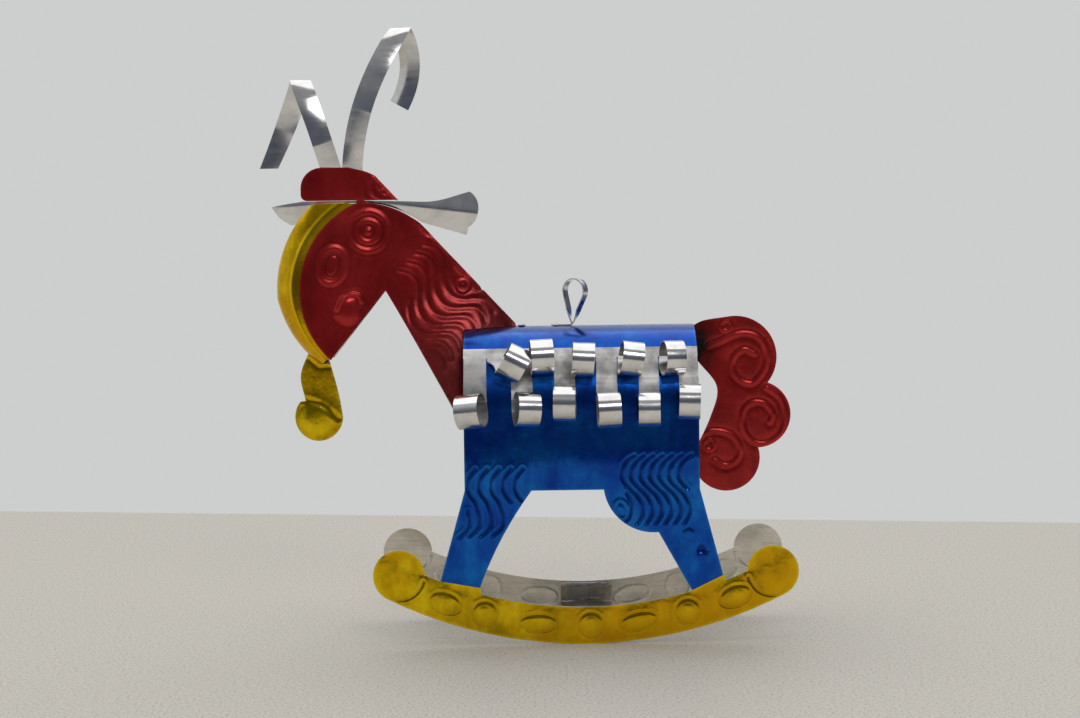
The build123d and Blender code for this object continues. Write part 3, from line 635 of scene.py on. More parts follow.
def leg_marks():
    """The chased waves on one side's legs, in side view."""
    hook = [(0, 0), (-2.8, -1.8), (-4.0, -4.5), (-3.5, -7.6), (-1.3, -10.4)]
    fall = [(0.9, -12.4), (2.3, -15.6), (1.9, -18.6), (0.5, -21.0)]
    thigh_x = body_rear - 20.0
    marks = []
    for k in range(7):
        start = thigh_x + REAR_WAVE_STEP * k
        marks.append(wave(start, 58.3, hook + fall if k < 6 else hook, REAR_WAVE_DEPTH))
    marks.append(wave(thigh_x - 3.4, 59.2, fall, REAR_WAVE_DEPTH))
    marks.append(ring(thigh_x - 4.2, 41.6, 2.0, 1.5, 105, 0.5, 0.18))
    marks.append(dome(thigh_x - 4.2, 41.6, 1.5, 0.2, 1.5, 105))
    marks.append(dome(body_rear - 3.6, 33.6, 2.2, 0.2))
    marks.append(dome(body_rear + 0.3, 28.9, 1.7, -0.4))
    hook = [(0, 0), (-2.1, -2.7), (-2.5, -5.5), (-1.6, -8.0), (-0.1, -10.2)]
    fall = [(0.7, -12.6), (1.2, -15.4), (0.4, -18.4), (-2.1, -20.7)]
    for k in range(5):
        start = body_front + 3.3 + FRONT_WAVE_STEP * k
        marks.append(wave(start, 54.8, hook + fall if k < 3 else hook, FRONT_WAVE_DEPTH))
    marks.append(wave(body_front + 0.2, 54.4, fall, FRONT_WAVE_DEPTH))
    return marks


def run_place(x, z):
    """A side-view place on the left half of the developed body sheet."""
    return x, quarter + spring_height - z


def build_body():
    front, rear = leg_lines()
    outline = both_halves([run_place(x, z) for x, z in front + rear])
    marks = both_sides(leg_marks(), run_place, handed=-1)

    def painted_ridge_shade(flat):
        """Painted shade: the lacquer's colour darkened towards the ridge."""
        return RIDGE_SHADE * np.clip(1.2 - np.abs(flat[:, 1]) / 50, 0, 1)

    shape = Shape()
    sheet(shape, outline, body_place, marks=marks, step=2.2, fine=0.38, edge_step=0.9, stain_and_shade=painted_ridge_shade)
    shape.finish_piece("body", (BLUE, DULL_TIN, CUT), ["body_shell"])


# Rockers

disc_x = DISC_SPAN / 2
disc_z = ROCKER_RADIUS - math.sqrt((ROCKER_RADIUS - DISC_RADIUS) ** 2 - disc_x**2)


def rocker_line():
    """Side outline of a rocker: band, end discs and the raised tabs at the legs."""
    top_radius = ROCKER_RADIUS - ROCKER_HEIGHT
    lean = math.degrees(math.asin(disc_x / (ROCKER_RADIUS - DISC_RADIUS)))
    notch = math.degrees(math.asin((ROCKER_HEIGHT - DISC_RADIUS) / DISC_RADIUS))
    line = arc((0, ROCKER_RADIUS), ROCKER_RADIUS, 270 - lean, 270 + lean, 80)
    line += arc((disc_x, disc_z), DISC_RADIUS, lean - 90, lean + 180 - notch, 40)

    def top(x):
        return ROCKER_RADIUS - math.sqrt(top_radius**2 - x**2)

    inner_x = disc_x + DISC_RADIUS * math.cos(math.radians(lean + 180 - notch)) - 0.1
    stops = [inner_x, rear_heel, rear_ankle, front_heel, front_ankle, -inner_x]
    for number, (start, end) in enumerate(zip(stops, stops[1:])):
        if number % 2 == 0:
            line += [(x, top(x)) for x in np.linspace(start, end, 24)]
        else:
            line += [(start, top(start) + TAB_RISE), (end, top(end))]
    line += arc((-disc_x, disc_z), DISC_RADIUS, notch - lean, 270 - lean, 40)
    return line


# Angles of the marks about the rocker's centre, in degrees
MARK_TURNS = [-25.6, -19.6, -14.0, -6.6, 0.6, 7.1, 14.0, 20.8, 26.8]
MARK_KINDS = ["crescent", "oval", "ring", "leaf", "ring", "leaf", "ring", "oval", "crescent"]
RING_DEPTH = -0.09
DOME_RISE = 0.15
LEAF_LEAN = 6
CRESCENT_DEPTH = -0.14


def rocker_marks():
    """Rings, ovals, leaves and crescents chased along a rocker."""
    marks = []
    middle = ROCKER_RADIUS - ROCKER_HEIGHT / 2

    def swollen(x, z, radius, swell, stretch=1.0, lean=0.0):
        outer = ring(x, z, radius, stretch, lean, height=RING_DEPTH)
        return [outer, dome(x, z, swell, DOME_RISE, stretch, lean)]

    for kind, turn in zip(MARK_KINDS, MARK_TURNS):
        x = middle * math.sin(math.radians(turn))
        z = ROCKER_RADIUS - middle * math.cos(math.radians(turn))
        if kind == "ring":
            marks += swollen(x, z, 4.0, 3.6)
        elif kind == "oval":
            marks += swollen(x, z, 3.2, 2.9, 1.6, turn)
        elif kind == "leaf":
            marks += swollen(x, z, 2.7, 2.4, 2.2, turn + LEAF_LEAN)
        else:
            bow = np.array(arc((0, disc_z), DISC_RADIUS - 0.4, -112, -12))
            bow[:, 0] = math.copysign(1, turn) * (disc_x - bow[:, 0])
            marks.append(chased(bow, 0.45, CRESCENT_DEPTH))
    return marks


def build_rocker(name, side):
    level = half_width + SHEET / 2

    def place(flat, offset):
        from_bottom = ROCKER_RADIUS - np.hypot(flat[:, 0], ROCKER_RADIUS - flat[:, 1])
        across = 2 * from_bottom / ROCKER_HEIGHT - 1
        swell = ROCKER_SWELL * np.clip(1 - across**2, 0, 1)
        return np.stack([flat[:, 0], side * (level + offset + swell), flat[:, 1]], axis=1)

    shape = Shape()
    sheet(shape, rocker_line(), place, marks=rocker_marks(), step=1.5, fine=0.4)
    shape.finish_piece(name, (YELLOW, DULL_TIN, CUT), [name])


def build_strap():
    low, high = node_box("cross_strap")
    bend = STRAP_BEND
    reach_y = half_width - SHEET / 2
    floor_z = low[2] + SHEET / 2
    path = [(-reach_y, z) for z in np.linspace(high[2], floor_z + bend, 6)]
    path += arc((-reach_y + bend, floor_z + bend), bend, 180, 270, 8)
    path += [(y, floor_z) for y in np.linspace(-reach_y + bend + 1, reach_y - bend - 1, 40)]
    path += arc((reach_y - bend, floor_z + bend), bend, 270, 360, 8)
    path += [(reach_y, z) for z in np.linspace(floor_z + bend + 0.5, high[2], 6)]
    across = np.linspace(low[0], high[0], 13)
    grid = np.array([[(x, y, z) for x in across] for y, z in path])
    bow = STRAP_BOW * (1 - ((across - across.mean()) / (across[-1] - across[0]) * 2) ** 2)
    level = (np.abs(grid[:, :, 1]) < reach_y - bend - 0.5).astype(float)
    shape = Shape()
    grid[:, :, 2] += level * bow
    ribbon(shape, grid, outward=np.array([0, 0, 1.0]))
    shape.finish_piece("cross_strap", (SHADED_STRAP_TIN, SHADED_STRAP_TIN, CUT), ["cross_strap"])


# Head: a folded sheet, measured along the crest from its foot (s) and square to it (d)

def crest_place(x, z):
    """Station and distance of a place in the head's side view."""
    return -x * crest_cos + z * crest_sin, -x * crest_sin - z * crest_cos


def face_place(radius, angle):
    """A place at an angle about the face's centre, in the head's side view."""
    turn = math.radians(angle)
    return FACE_X + radius * math.cos(turn), FACE_Z + radius * math.sin(turn)


brow = face_place(FACE_RADIUS, BROW_ANGLE)
chin = face_place(FACE_RADIUS, CHIN_ANGLE)
neck_x = body_front - crest_x
neck_z = JAW[1] - NECK_FRONT_SLOPE * (neck_x - JAW[0])
tuck_x = neck_x + NECK_TUCK
cap_bottom = brow[1] + EAR_SLOT
cap_top = cap_bottom + CAP_HEIGHT
cap_left = brow[0] - CAP_LENGTH + BRIDGE
neck_flare = (half_width - SHEET - FOLD_RADIUS - 0.1) / crest_place(neck_x, neck_z)[1]
# The halves' spread per millimetre from the crest, at stations along it
FLARES = [
    (crest_place(tuck_x, neck_z)[0], neck_flare),
    (crest_place(*chin)[0] * 0.8, 0.16),
    (crest_place(*chin)[0], 0.11),
    (crest_place(*brow)[0] - FOLD_RADIUS, 0.16),
    (crest_place(*brow)[0] + CAP_HEIGHT, 0.03),
]


def flare_at(s):
    """Spread of one half per millimetre from the crest, eased along it."""
    stations, spreads = zip(*FLARES)
    eased = [np.interp(s + shift, stations, spreads) for shift in (-3, -1.5, 0, 1.5, 3)]
    return np.mean(eased, axis=0)


def half_gap(s, d, offset=0.0):
    """Distance from the middle plane to a half, at a station and a distance from the crest."""
    lean = np.arctan(flare_at(s))
    middle = FOLD_RADIUS - SHEET / 2
    start = FOLD_RADIUS - middle * np.sin(lean)
    return middle * np.cos(lean) + (d - start) * np.tan(lean) + offset / np.cos(lean)


def head_place(flat, offset):
    """Fold the developed head sheet on its crest. Positive distances lie on the left side."""
    s, q = flat[:, 0], flat[:, 1]
    side = np.where(q < 0, -1.0, 1.0)
    d = np.abs(q)
    lean = np.arctan(flare_at(s))
    middle = FOLD_RADIUS - SHEET / 2
    start = FOLD_RADIUS - middle * np.sin(lean)
    turn = np.clip(d / start, 0, 1) * (math.pi / 2 - lean)
    nose = d < start
    depth = np.where(nose, FOLD_RADIUS - (middle + offset) * np.cos(turn), d - offset * np.sin(lean))
    gap = np.where(nose, (middle + offset) * np.sin(turn), half_gap(s, d, 0) + offset * np.cos(lean))
    x = crest_x - s * crest_cos - depth * crest_sin
    z = body_top + s * crest_sin - depth * crest_cos
    return np.stack([x, -side * gap, z], axis=1)


def saddle_line():
    """Where the neck meets the body's arch, from the tuck up to the crest's foot, in side view."""
    line = []
    for x in np.linspace(tuck_x, 0, 16):
        z = 0.0
        for _ in range(30):
            s, d = crest_place(x, z)
            y = half_gap(s, max(d, FOLD_RADIUS))
            z = math.sqrt(half_width**2 - y**2) - half_width
        line.append((x, z))
    return line


def head_outline():
    """Outline of the developed head sheet: cap, face, neck, and the line on the body's arch."""
    crest_end = -cap_top * crest_cos / crest_sin
    round_start = (crest_end + CAP_ROUND * crest_cos, cap_top - CAP_ROUND * crest_sin)
    near = [round_start]
    near += curve([round_start, (crest_end - 0.4, cap_top - 1.4), (crest_end - 6.0, cap_top)], 6)[1:]
    near += arc((cap_left + CAP_CORNER, cap_top - CAP_CORNER), CAP_CORNER, 90, 180, 16)
    near += arc((cap_left + 2, cap_bottom + 2), 2, 180, 270, 8)
    near += [(brow[0], cap_bottom)]
    near += arc((FACE_X, FACE_Z), FACE_RADIUS, BROW_ANGLE, CHIN_ANGLE, 70)
    near += [JAW, (neck_x, neck_z), (tuck_x, neck_z)]
    near += saddle_line()
    half = [crest_place(x, z) for x, z in near]
    return both_halves([(s, max(d, 0.0)) for s, d in half])


def ear_window():
    """The cut in the developed head sheet, from the slot behind the brow to the window in the crest."""
    top = (-cap_bottom * crest_cos / crest_sin, cap_bottom)
    low_station = crest_place(*top)[0] - EAR_WINDOW
    low = np.array([-low_station * crest_cos, low_station * crest_sin])
    root = np.array([brow[0] + BRIDGE, brow[1]])
    along = root - low
    square = np.array([along[1], -along[0]]) / np.linalg.norm(along)
    bowed = (low + root) / 2 + math.copysign(1, square[1]) * square * WINDOW_RISE
    window = three_point_arc(low, bowed, root) + [(root[0], cap_bottom), top]
    window = [(s, max(d, 0.0)) for s, d in (crest_place(x, z) for x, z in window)]
    return window + [(s, -d) for s, d in window[-2:0:-1]]


# Strength of the painted shade towards the neck's foot
NECK_SHADE = 0.4


def build_head():
    def calm(flat):
        """No embossing on the fold itself."""
        return np.clip((np.abs(flat[:, 1]) - FOLD_RADIUS) / 2.4, 0, 1)

    def painted_neck_shade(flat):
        """Painted shade: the lacquer's colour darkened towards the neck's foot."""
        return NECK_SHADE * np.clip(1.3 - flat[:, 0] / 24, 0, 1)

    marks = both_sides(head_marks(), crest_place, turn_by=CREST_ANGLE - math.pi / 2)
    shape = Shape()
    sheet(shape, head_outline(), head_place, [ear_window()], marks, step=1.8, calm=calm, stain_and_shade=painted_neck_shade)
    shape.finish_piece("head", (RED, DULL_TIN, CUT), ["head_neck_shell"])


def head_marks():
    """Eye, cheek, mouth and the waves of the mane, in the head's side view from the crest's foot."""
    def at(x, z):
        return x - crest_x, z - body_top

    eye = at(-66.8, 127.9)
    marks = [ring(*eye, 6.2, height=0.15, width=0.8), ring(*eye, 3.4, height=0.15, width=0.7)]
    marks += [dome(*eye, 1.4, 0.25)]
    cheek = at(-78.2, 117.3)
    marks += [ring(*cheek, 4.2, 1.35, 75, height=0.2, width=0.8), ring(*cheek, 2.0, 1.7, 75)]
    mouth = at(-74.2, 103.4)
    marks += [dome(*mouth, 4.6, 0.5, 1.25, 35)]
    lips = [at(-77.0, 103.6), at(-75.6, 106.3), at(-73.0, 108.2), at(-70.2, 107.9), at(-69.2, 105.8)]
    marks += [chased(curve(lips, 6), 0.55, 0.3)]
    marks += [ring(*at(-62.3, 140.7), 4.4, height=0.12, width=0.7), dome(*at(-61.9, 140.9), 1.1, 0.3)]
    marks += [ring(*at(-37.3, 110.3), 1.8, height=0.14), dome(*at(-37.3, 110.3), 0.8, -0.4)]
    mane = [(-51.9, 121.0), (-48.5, 120.0), (-46.4, 117.5), (-45.8, 114.4), (-46.2, 111.3), (-45.6, 107.8)]
    mane += [(-43.4, 104.6), (-39.7, 103.3), (-36.3, 103.6), (-33.1, 103.2), (-31.0, 101.0), (-30.4, 99.1)]
    mane = [at(x, z) for x, z in mane]
    for numbers, first in (((-1, 0, 1, 2), 0), ((3,), 3), ((4,), 5), ((5,), 7)):
        marks += repeated(mane[first:], (-2.7, -2.7), numbers, 0.75, -0.1)
    return marks


# Face band and beard

BAND_BULGE = 7.8
BAND_CHIN_BULGE = 3.6
BAND_FULL_TO = 175.0
BAND_LAP = 1.5
BAND_FIT = 0.62
BAND_START = BROW_ANGLE + 0.6
BAND_END = CHIN_ANGLE - 2.0
# The band's ridge beside the face, by its angle round the band's section, and a small ring
BAND_RIDGE_AT = 71
BAND_RIDGE = 0.2
BAND_RING_AT = (191.4, 45.6)
BAND_RING = 0.14


def build_band():
    angles = np.linspace(BAND_START, BAND_END, 200)
    turns = np.linspace(-90, 90, 61)
    rows, lifts = [], []
    for angle in angles:
        slack = max(0.0, angle - BAND_FULL_TO) / (CHIN_ANGLE - BAND_FULL_TO)
        bulge = BAND_BULGE + (BAND_CHIN_BULGE - BAND_BULGE) * slack - SHEET / 2
        seats = [face_place(FACE_RADIUS, angle), face_place(FACE_RADIUS - BAND_LAP, angle)]
        width = float(min(half_gap(*crest_place(*seat)) for seat in seats)) - BAND_FIT
        section = [(-BAND_LAP, -width)]
        section += [(bulge * math.cos(math.radians(t)), width * math.sin(math.radians(t))) for t in turns]
        section += [(-BAND_LAP, width)]
        share = (angle - BAND_START) / (BAND_END - BAND_START)
        row = []
        for out, y in section:
            under_cap = (brow[1] - FACE_Z - 0.2) / (FACE_RADIUS + max(out, -0.8))
            first = 180 - math.degrees(math.asin(under_cap))
            x, z = face_place(FACE_RADIUS + out, first + (BAND_END - first) * share)
            row.append((crest_x + x, y, body_top + z))
        rows.append(row)
        t = np.concatenate([[-90], turns, [90]])
        dimple = np.hypot(BAND_RING_AT[0] - angle, (np.abs(t) - BAND_RING_AT[1]) / 6) * 0.6
        ridge = BAND_RIDGE * np.exp(-(((np.abs(t) - BAND_RIDGE_AT) / 4) ** 2))
        lifts.append(ridge + BAND_RING * np.exp(-(((dimple - 1) / 0.4) ** 2)))
    grid = np.array(rows)
    shape = Shape()
    outward = grid - np.array([crest_x + FACE_X, 0, body_top + FACE_Z])
    ribbon(shape, grid, np.array(lifts), outward)
    build_beard(shape)
    shape.finish_piece("face_band", (YELLOW, DULL_TIN, CUT, YELLOW), ["face_band"])


BEARD_WIDTH = 10.2
BEARD_LENGTH = 26.0
BEARD_LOBE = 7.6
BEARD_LOBE_X = -4.7
BEARD_SEAT = 3.0
BEARD_WAIST = 5.2
BEARD_WAIST_X = -8.8
BEARD_CUP = 0.018


def build_beard(shape):
    lobe_z = BEARD_LOBE - BEARD_LENGTH
    origin = (crest_x + chin[0], body_top + chin[1])
    waist = (BEARD_WAIST_X, lobe_z + BEARD_WAIST)
    line = curve([(BEARD_SEAT - BEARD_WIDTH, BEARD_SEAT), (-BEARD_WIDTH, -BEARD_WIDTH / 2), waist], 14)
    start = math.degrees(math.atan2(waist[1] - lobe_z, waist[0] - BEARD_LOBE_X))
    line += arc((BEARD_LOBE_X, lobe_z), BEARD_LOBE, start + 12, 360, 50)
    line += curve([(BEARD_LOBE_X + BEARD_LOBE, lobe_z), (BEARD_SEAT / 2, -BEARD_WIDTH), (-1.5, 1.5)], 14)[1:]
    crease = [(-12.0, lobe_z + 6.4), (-8.4, lobe_z + 5.6), (-3.0, lobe_z + 3.4), (1.4, lobe_z - 0.6)]
    marks = [chased(curve(crease, 8), 0.8, -0.1), dome(BEARD_LOBE_X - 0.6, lobe_z - 0.8, 6.2, 0.5)]
    marks += [chased([(-8.2, 2.0), (-4.0, -1.6), (-1.0, -1.4)], 0.6, 0.3)]

    def place(flat, offset):
        cup = BEARD_CUP * (flat[:, 0] + 4.5) ** 2
        return np.stack([origin[0] + flat[:, 0], -offset + cup, origin[1] + flat[:, 1]], axis=1)

    first = len(shape.finish)
    sheet(shape, line, place, marks=marks, step=1.2, fine=0.4)
    shape.finish[first:] = [3 if finish == 1 else finish for finish in shape.finish[first:]]


# Horns

HORN_WIDTH = 6.4
HORN_ROOT = 7.0
HORN_FORK = 6.9
HORN_CUP = 0.2
HORN_SETBACK = 6.8
CREST_LENGTH = 66.0
horn_base = body_top + cap_top
rear_horn_x = crest_x - CREST_LENGTH * crest_cos - HORN_SETBACK
front_horn_x = rear_horn_x - HORN_FORK
# Each arm: height, lean and bow on the way up, the roll's radius, the same for the way down, the slant of
# its cut end, the place and depth of its kink, and its turn about the upright with the height of its start
FRONT_HORN = dict(height=27.6, lean=-9.4, bow=0.4, roll=4.0, drop=27.5, drop_lean=-11.0, drop_bow=0.4)
FRONT_HORN |= dict(slant=-2.7, knee=0.26, push=1.25, yaw=-12, yaw_from=12)
REAR_HORN = dict(height=43.6, lean=15.7, bow=-3.2, roll=5.0, drop=24.0, drop_lean=-1.2, drop_bow=3.0)
REAR_HORN |= dict(slant=0.0, knee=0.39, push=1.9, yaw=10, yaw_from=1)
BEND_STEPS = 18


def horn_grid(base_x, height, lean, bow, roll, drop, drop_lean, drop_bow, slant, knee, push, yaw, yaw_from):
    """An arm of the horns: up with a slight kink, over away from the left side, and down again."""
    top = horn_base + height
    bends = [(0.0, horn_base - 1.0), (-push, horn_base + (knee - 0.02) * height)]
    bends += [(-push - 0.03, horn_base + (knee + 0.03) * height)]
    bends += [(-0.6 * push, horn_base + (knee + 0.2) * height), (0.7, horn_base + 0.8 * height), (roll, top)]
    bends += [(2 * roll - 1.0, top - 0.16 * drop), (2 * roll + 0.5, top - 0.6 * drop)]
    bends += [(2 * roll + 0.5, top - drop)]
    path = curve(bends, BEND_STEPS)
    crown = 5 * BEND_STEPS
    across = np.linspace(-0.5, 0.5, 9)
    rows = []
    for number, (y, z) in enumerate(path):
        fall = 0.0
        if number <= crown:
            share = (z - horn_base) / height
            x = base_x + lean * share + 4 * bow * share * (1 - share)
            tilt = (lean + 4 * bow * (1 - 2 * share)) / height
        else:
            share = (top - z) / drop
            x = base_x + lean + drop_lean * share + 4 * drop_bow * share * (1 - share)
            tilt = -(drop_lean + 4 * drop_bow * (1 - 2 * share)) / drop
            fall = slant * max(0.0, share - 0.5) * 2
        tilt *= min(1.0, abs(top - z) / (1.2 * roll))
        width = HORN_WIDTH / math.hypot(1, tilt)
        turned = min(1.0, max(0.0, (z - horn_base - yaw_from) / 6)) * math.sin(math.radians(yaw))
        back = HORN_CUP * (1 - 4 * across**2) + across * width * turned
        rows.append([(x + a * width, y - c, z - a * width * tilt - a * fall) for a, c in zip(across, back)])
    return np.array(rows)


def build_horns():
    shape = Shape()
    towards = np.array([0, -1.0, 0])
    ribbon(shape, horn_grid(front_horn_x, **FRONT_HORN), outward=towards)
    ribbon(shape, horn_grid(rear_horn_x, **REAR_HORN), outward=towards)
    width = HORN_WIDTH + HORN_FORK
    middle = (front_horn_x + rear_horn_x) / 2
    across = np.linspace(-width / 2, width / 2, 9)
    up = np.linspace(horn_base - HORN_ROOT, horn_base, 6)
    root = np.array([[(middle + a, 0.0, z) for a in across] for z in up])
    ribbon(shape, root, outward=towards)
    shape.finish_piece("horns", (TIN, TIN, CUT), ["horns"])


# Ears

EAR_OFFSET = 2.8
EAR_SKEW = math.radians(14.0)
EAR_CREASE = 0.22
EAR_WAIST = 0.7
# The rear leaf's lower edge where it passes through the crest's window
EAR_SEAT = [(17.0, -6.0), (13.0, -3.8), (9.0, -2.2), (5.0, -1.2), (1.0, -0.7)]


def ear_place(dip):
    """Crease a leaf along a line through the slot and turn it into place."""
    origin = np.array([crest_x + brow[0] + BRIDGE, EAR_OFFSET, body_top + cap_bottom - 0.1])
    along = np.array([math.cos(EAR_SKEW), -math.sin(EAR_SKEW), 0])
    facing = np.array([-math.sin(EAR_SKEW), -math.cos(EAR_SKEW), 0])

    def place(flat, offset):
        off_line = flat[:, 1] * math.cos(math.radians(dip)) - flat[:, 0] * math.sin(math.radians(dip))
        depth = offset - EAR_CREASE * (np.hypot(off_line, 0.25) - 0.25)
        return origin + flat[:, :1] * along + flat[:, 1:] * np.array([0, 0, 1.0]) + depth[:, None] * facing

    return place


def build_ears():
    shape = Shape()
    rear = [(0, -EAR_WAIST), (0, 0), (12.7, -0.35)]
    rear += curve([(12.7, -0.35), (23.1, -0.4), (34.3, 2.4)], 12)[1:]
    rear += three_point_arc((34.3, 2.4), (37.3, -3.4), (33.6, -8.8))[1:]
    rear += [(33.0, -11.2)]
    rear += curve([(23.9, -8.6), (19.0, -7.2), *EAR_SEAT], 8)
    sheet(shape, rear, ear_place(-6.8), step=0.8, edge_step=0.6)
    front = [(0, 0), (0, -EAR_WAIST), (-5.0, -EAR_WAIST)]
    front += curve([(-5.0, -EAR_WAIST), (-12.0, -3.4), (-18.8, -6.2)], 12)[1:]
    front += [(-25.0, -7.6)]
    front += curve([(-25.0, -7.6), (-28.6, -5.4), (-31.3, -1.7)], 8)[1:]
    front += curve([(-31.3, -1.7), (-27.0, -0.9), (-20.7, 0)], 8)[1:]
    sheet(shape, front, ear_place(3.2), step=0.8, edge_step=0.6)
    shape.finish_piece("ears", (TIN, DULL_TIN, CUT), ["ears"])


# Tail

TAIL_ROOT = 7.5
TAIL_ROOT_HEIGHT = 11.4
TAIL_HEEL = 1.4
# The three scrolls raised on the tail, in side view
UPPER_SCROLL = [(40.4, 90.2), (44.6, 91.8), (49.2, 93.7), (53.4, 93.8), (56.9, 91.8), (58.7, 87.9)]
UPPER_SCROLL += [(58.3, 83.3), (56.2, 79.8), (53.7, 77.9), (50.2, 79.0), (47.7, 82.4), (48.2, 86.4)]
UPPER_SCROLL += [(51.4, 88.8), (54.8, 87.4)]
MIDDLE_SCROLL = [(58.6, 76.5), (62.5, 73.7), (64.2, 69.7), (64.2, 64.8), (62.4, 61.2), (58.5, 58.8)]
MIDDLE_SCROLL += [(54.6, 59.2), (51.8, 62.1), (50.8, 66.0), (51.5, 69.9), (54.7, 72.0), (58.2, 71.3)]
MIDDLE_SCROLL += [(60.3, 68.4), (59.6, 65.6)]
LOWER_SCROLL = [(37.6, 61.6), (40.8, 63.0), (45.1, 62.6), (48.3, 60.7), (50.0, 57.2), (48.9, 53.6)]
LOWER_SCROLL += [(45.4, 51.9), (41.8, 53.7)]
TAIL_SCROLLS = [UPPER_SCROLL, MIDDLE_SCROLL, LOWER_SCROLL]
SCROLL_WIDTH = 0.62
SCROLL_RISE = 0.24


def build_tail():
    root_top = -SHEET - 0.1
    root_bottom = root_top - TAIL_ROOT_HEIGHT
    line = [(TAIL_HEEL, root_bottom), (-TAIL_ROOT, root_bottom), (-TAIL_ROOT, root_top)]
    line += curve([(0, root_top), (3.6, 1.05), (10.9, 2.1)], 8)
    line += three_point_arc((10.9, 2.1), (24.8, -4.5), (23.5, -19.0))[1:]
    line += three_point_arc((23.5, -19.0), (30.7, -29.2), (20.4, -39.7))[1:]
    line += three_point_arc((20.4, -39.7), (9.6, -53.4), (-0.4, -41.5))[1:]
    line += curve([(-0.4, -41.5), (5.1, -30.1), (7.4, -20.3), (TAIL_HEEL, root_bottom)], 12)[1:-1]

    def at(x, z):
        return x - body_rear, z - body_top

    marks = []
    for scroll in TAIL_SCROLLS:
        marks.append(chased(curve([at(x, z) for x, z in scroll], 6), SCROLL_WIDTH, SCROLL_RISE))
    for x, z in ((45.8, 96.4), (40.2, 58.6)):
        marks += [ring(*at(x, z), 1.7, height=0.16), dome(*at(x, z), 0.9, -0.5)]

    def burnt(flat):
        """Soot from the soldering, darkest at the root's lower corner."""
        return np.clip(1.0 - np.hypot(flat[:, 0] - 0.5, 0.45 * (flat[:, 1] + 8)) / 7.5, 0, 1)

    def place(flat, offset):
        return np.stack([body_rear + flat[:, 0], -offset, body_top + flat[:, 1]], axis=1)

    shape = Shape()
    sheet(shape, line, place, marks=marks, step=1.6, fine=0.4, stain_and_shade=burnt)
    shape.finish_piece("tail_plate", (RED, RED, CUT), ["tail"])


# Fringes

FRINGE_START = 43.0
COMB_START = 52.0
HIGH_CURL_AT = 60.0
LOW_CURL_AT = 90.0
# Where the fringes are slit, as shares of their length
FINGER_CUTS = [0, 0.1, 0.2, 0.293, 0.385, 0.475, 0.565, 0.657, 0.745, 0.833, 0.914, 1]
CURL_RADIUS = 5.6
CURL_CHANCE = 0.25
CURL_TIGHTEN = 0.7
CURL_TURN = 330.0
SLIT = 0.3
# Chance bends of the near fingers from the neck on, and of the far ones from the tail on: tilt and swing in
# degrees, shift along the body, and how many degrees the curl starts early
FINGER_TILT = [-6, 24, 3, -4, 1, 3, -2, 4, 0, -5, 2]
FINGER_SWING = [-16, 16, 12, 2, -3, 2, 3, 9, -2, 10, -3]
FINGER_ASIDE = [0.4, 3.5, 0.5, -0.5, 0.3, -0.9, 0, 0, 0, 0, 0.3]
FINGER_SHORT = [0, -2, 1, 2, 4, 0, 0, 0, 0, 0, 4]
# A short finger's lift over its neighbours, a curl's widening, and the far fringe's share of the bends
FINGER_OVERLAP = 0.5
CURL_SPREAD = 0.08
FAR_BENDS = 0.3
# Rows of a finger before its curl and in it, the rows over which it bends, and a fringe's radius on the body
SHOULDER_ROWS = 16
CURL_ROWS = 72
BEND_FROM = 4
BEND_OVER = 18
bend_shares = np.clip((np.arange(SHOULDER_ROWS + CURL_ROWS) - BEND_FROM) / BEND_OVER, 0, 1)
fringe_reach = half_width + 0.1 + SHEET / 2


def finger_path(to_angle, radius):
    """A finger in edge view: down the shoulder, then rolled outwards."""
    path = []
    for turn in np.radians(np.linspace(COMB_START, to_angle, SHOULDER_ROWS)):
        path.append((fringe_reach * math.sin(turn), spring_height + fringe_reach * math.cos(turn)))
    heading = math.radians(-to_angle)
    step = math.radians(CURL_TURN) / CURL_ROWS
    y, z = path[-1]
    for k in range(CURL_ROWS):
        r = radius - CURL_TIGHTEN * k / CURL_ROWS
        heading += step / 2
        y, z = y + r * step * math.cos(heading), z + r * step * math.sin(heading)
        heading += step / 2
        path.append((y, z))
    return np.array(path)


def finger_grid(path, width, to_angle, index, bend):
    """A finger's places: tilted, swung, widened and moved aside along its curl."""
    across = np.linspace(-0.5, 0.5, 9) * width
    grid = np.array([[(a, y, z) for a in across] for y, z in path])
    pivot = np.array([0, *path[SHOULDER_ROWS - 1]])
    down = math.radians(to_angle)
    turn_axis = Vector((0, math.sin(down), math.cos(down)))
    swing_axis = Vector((0, math.cos(down), -math.sin(down)))
    for row, share in enumerate(bend_shares):
        turn = Matrix.Rotation(math.radians(bend * FINGER_TILT[index] * share), 3, turn_axis)
        swing = Matrix.Rotation(math.radians(bend * FINGER_SWING[index] * share), 3, swing_axis)
        grid[row] = (grid[row] - pivot) @ np.array(swing @ turn).T + pivot
        grid[row, :, 0] *= 1 + CURL_SPREAD * share
        grid[row, :, 0] += bend * FINGER_ASIDE[index] * share
    return grid


def lift_finger(grid, to_angle, overlap):
    """Lift a finger clear of the body, and a short one over its neighbours."""
    lean = np.full(len(grid), math.radians(to_angle))
    lean[:SHOULDER_ROWS] = np.radians(np.linspace(COMB_START, to_angle, SHOULDER_ROWS))
    dip = fringe_reach - np.hypot(grid[:, :, 1], np.maximum(grid[:, :, 2] - spring_height, 0))
    lift = np.maximum.accumulate(np.clip(dip.max(axis=1), 0, None))
    lift += overlap * np.clip(bend_shares / 0.25, 0, 1)
    grid[:, :, 1] += (lift * np.sin(lean))[:, None]
    grid[:, :, 2] += (lift * np.cos(lean))[:, None]


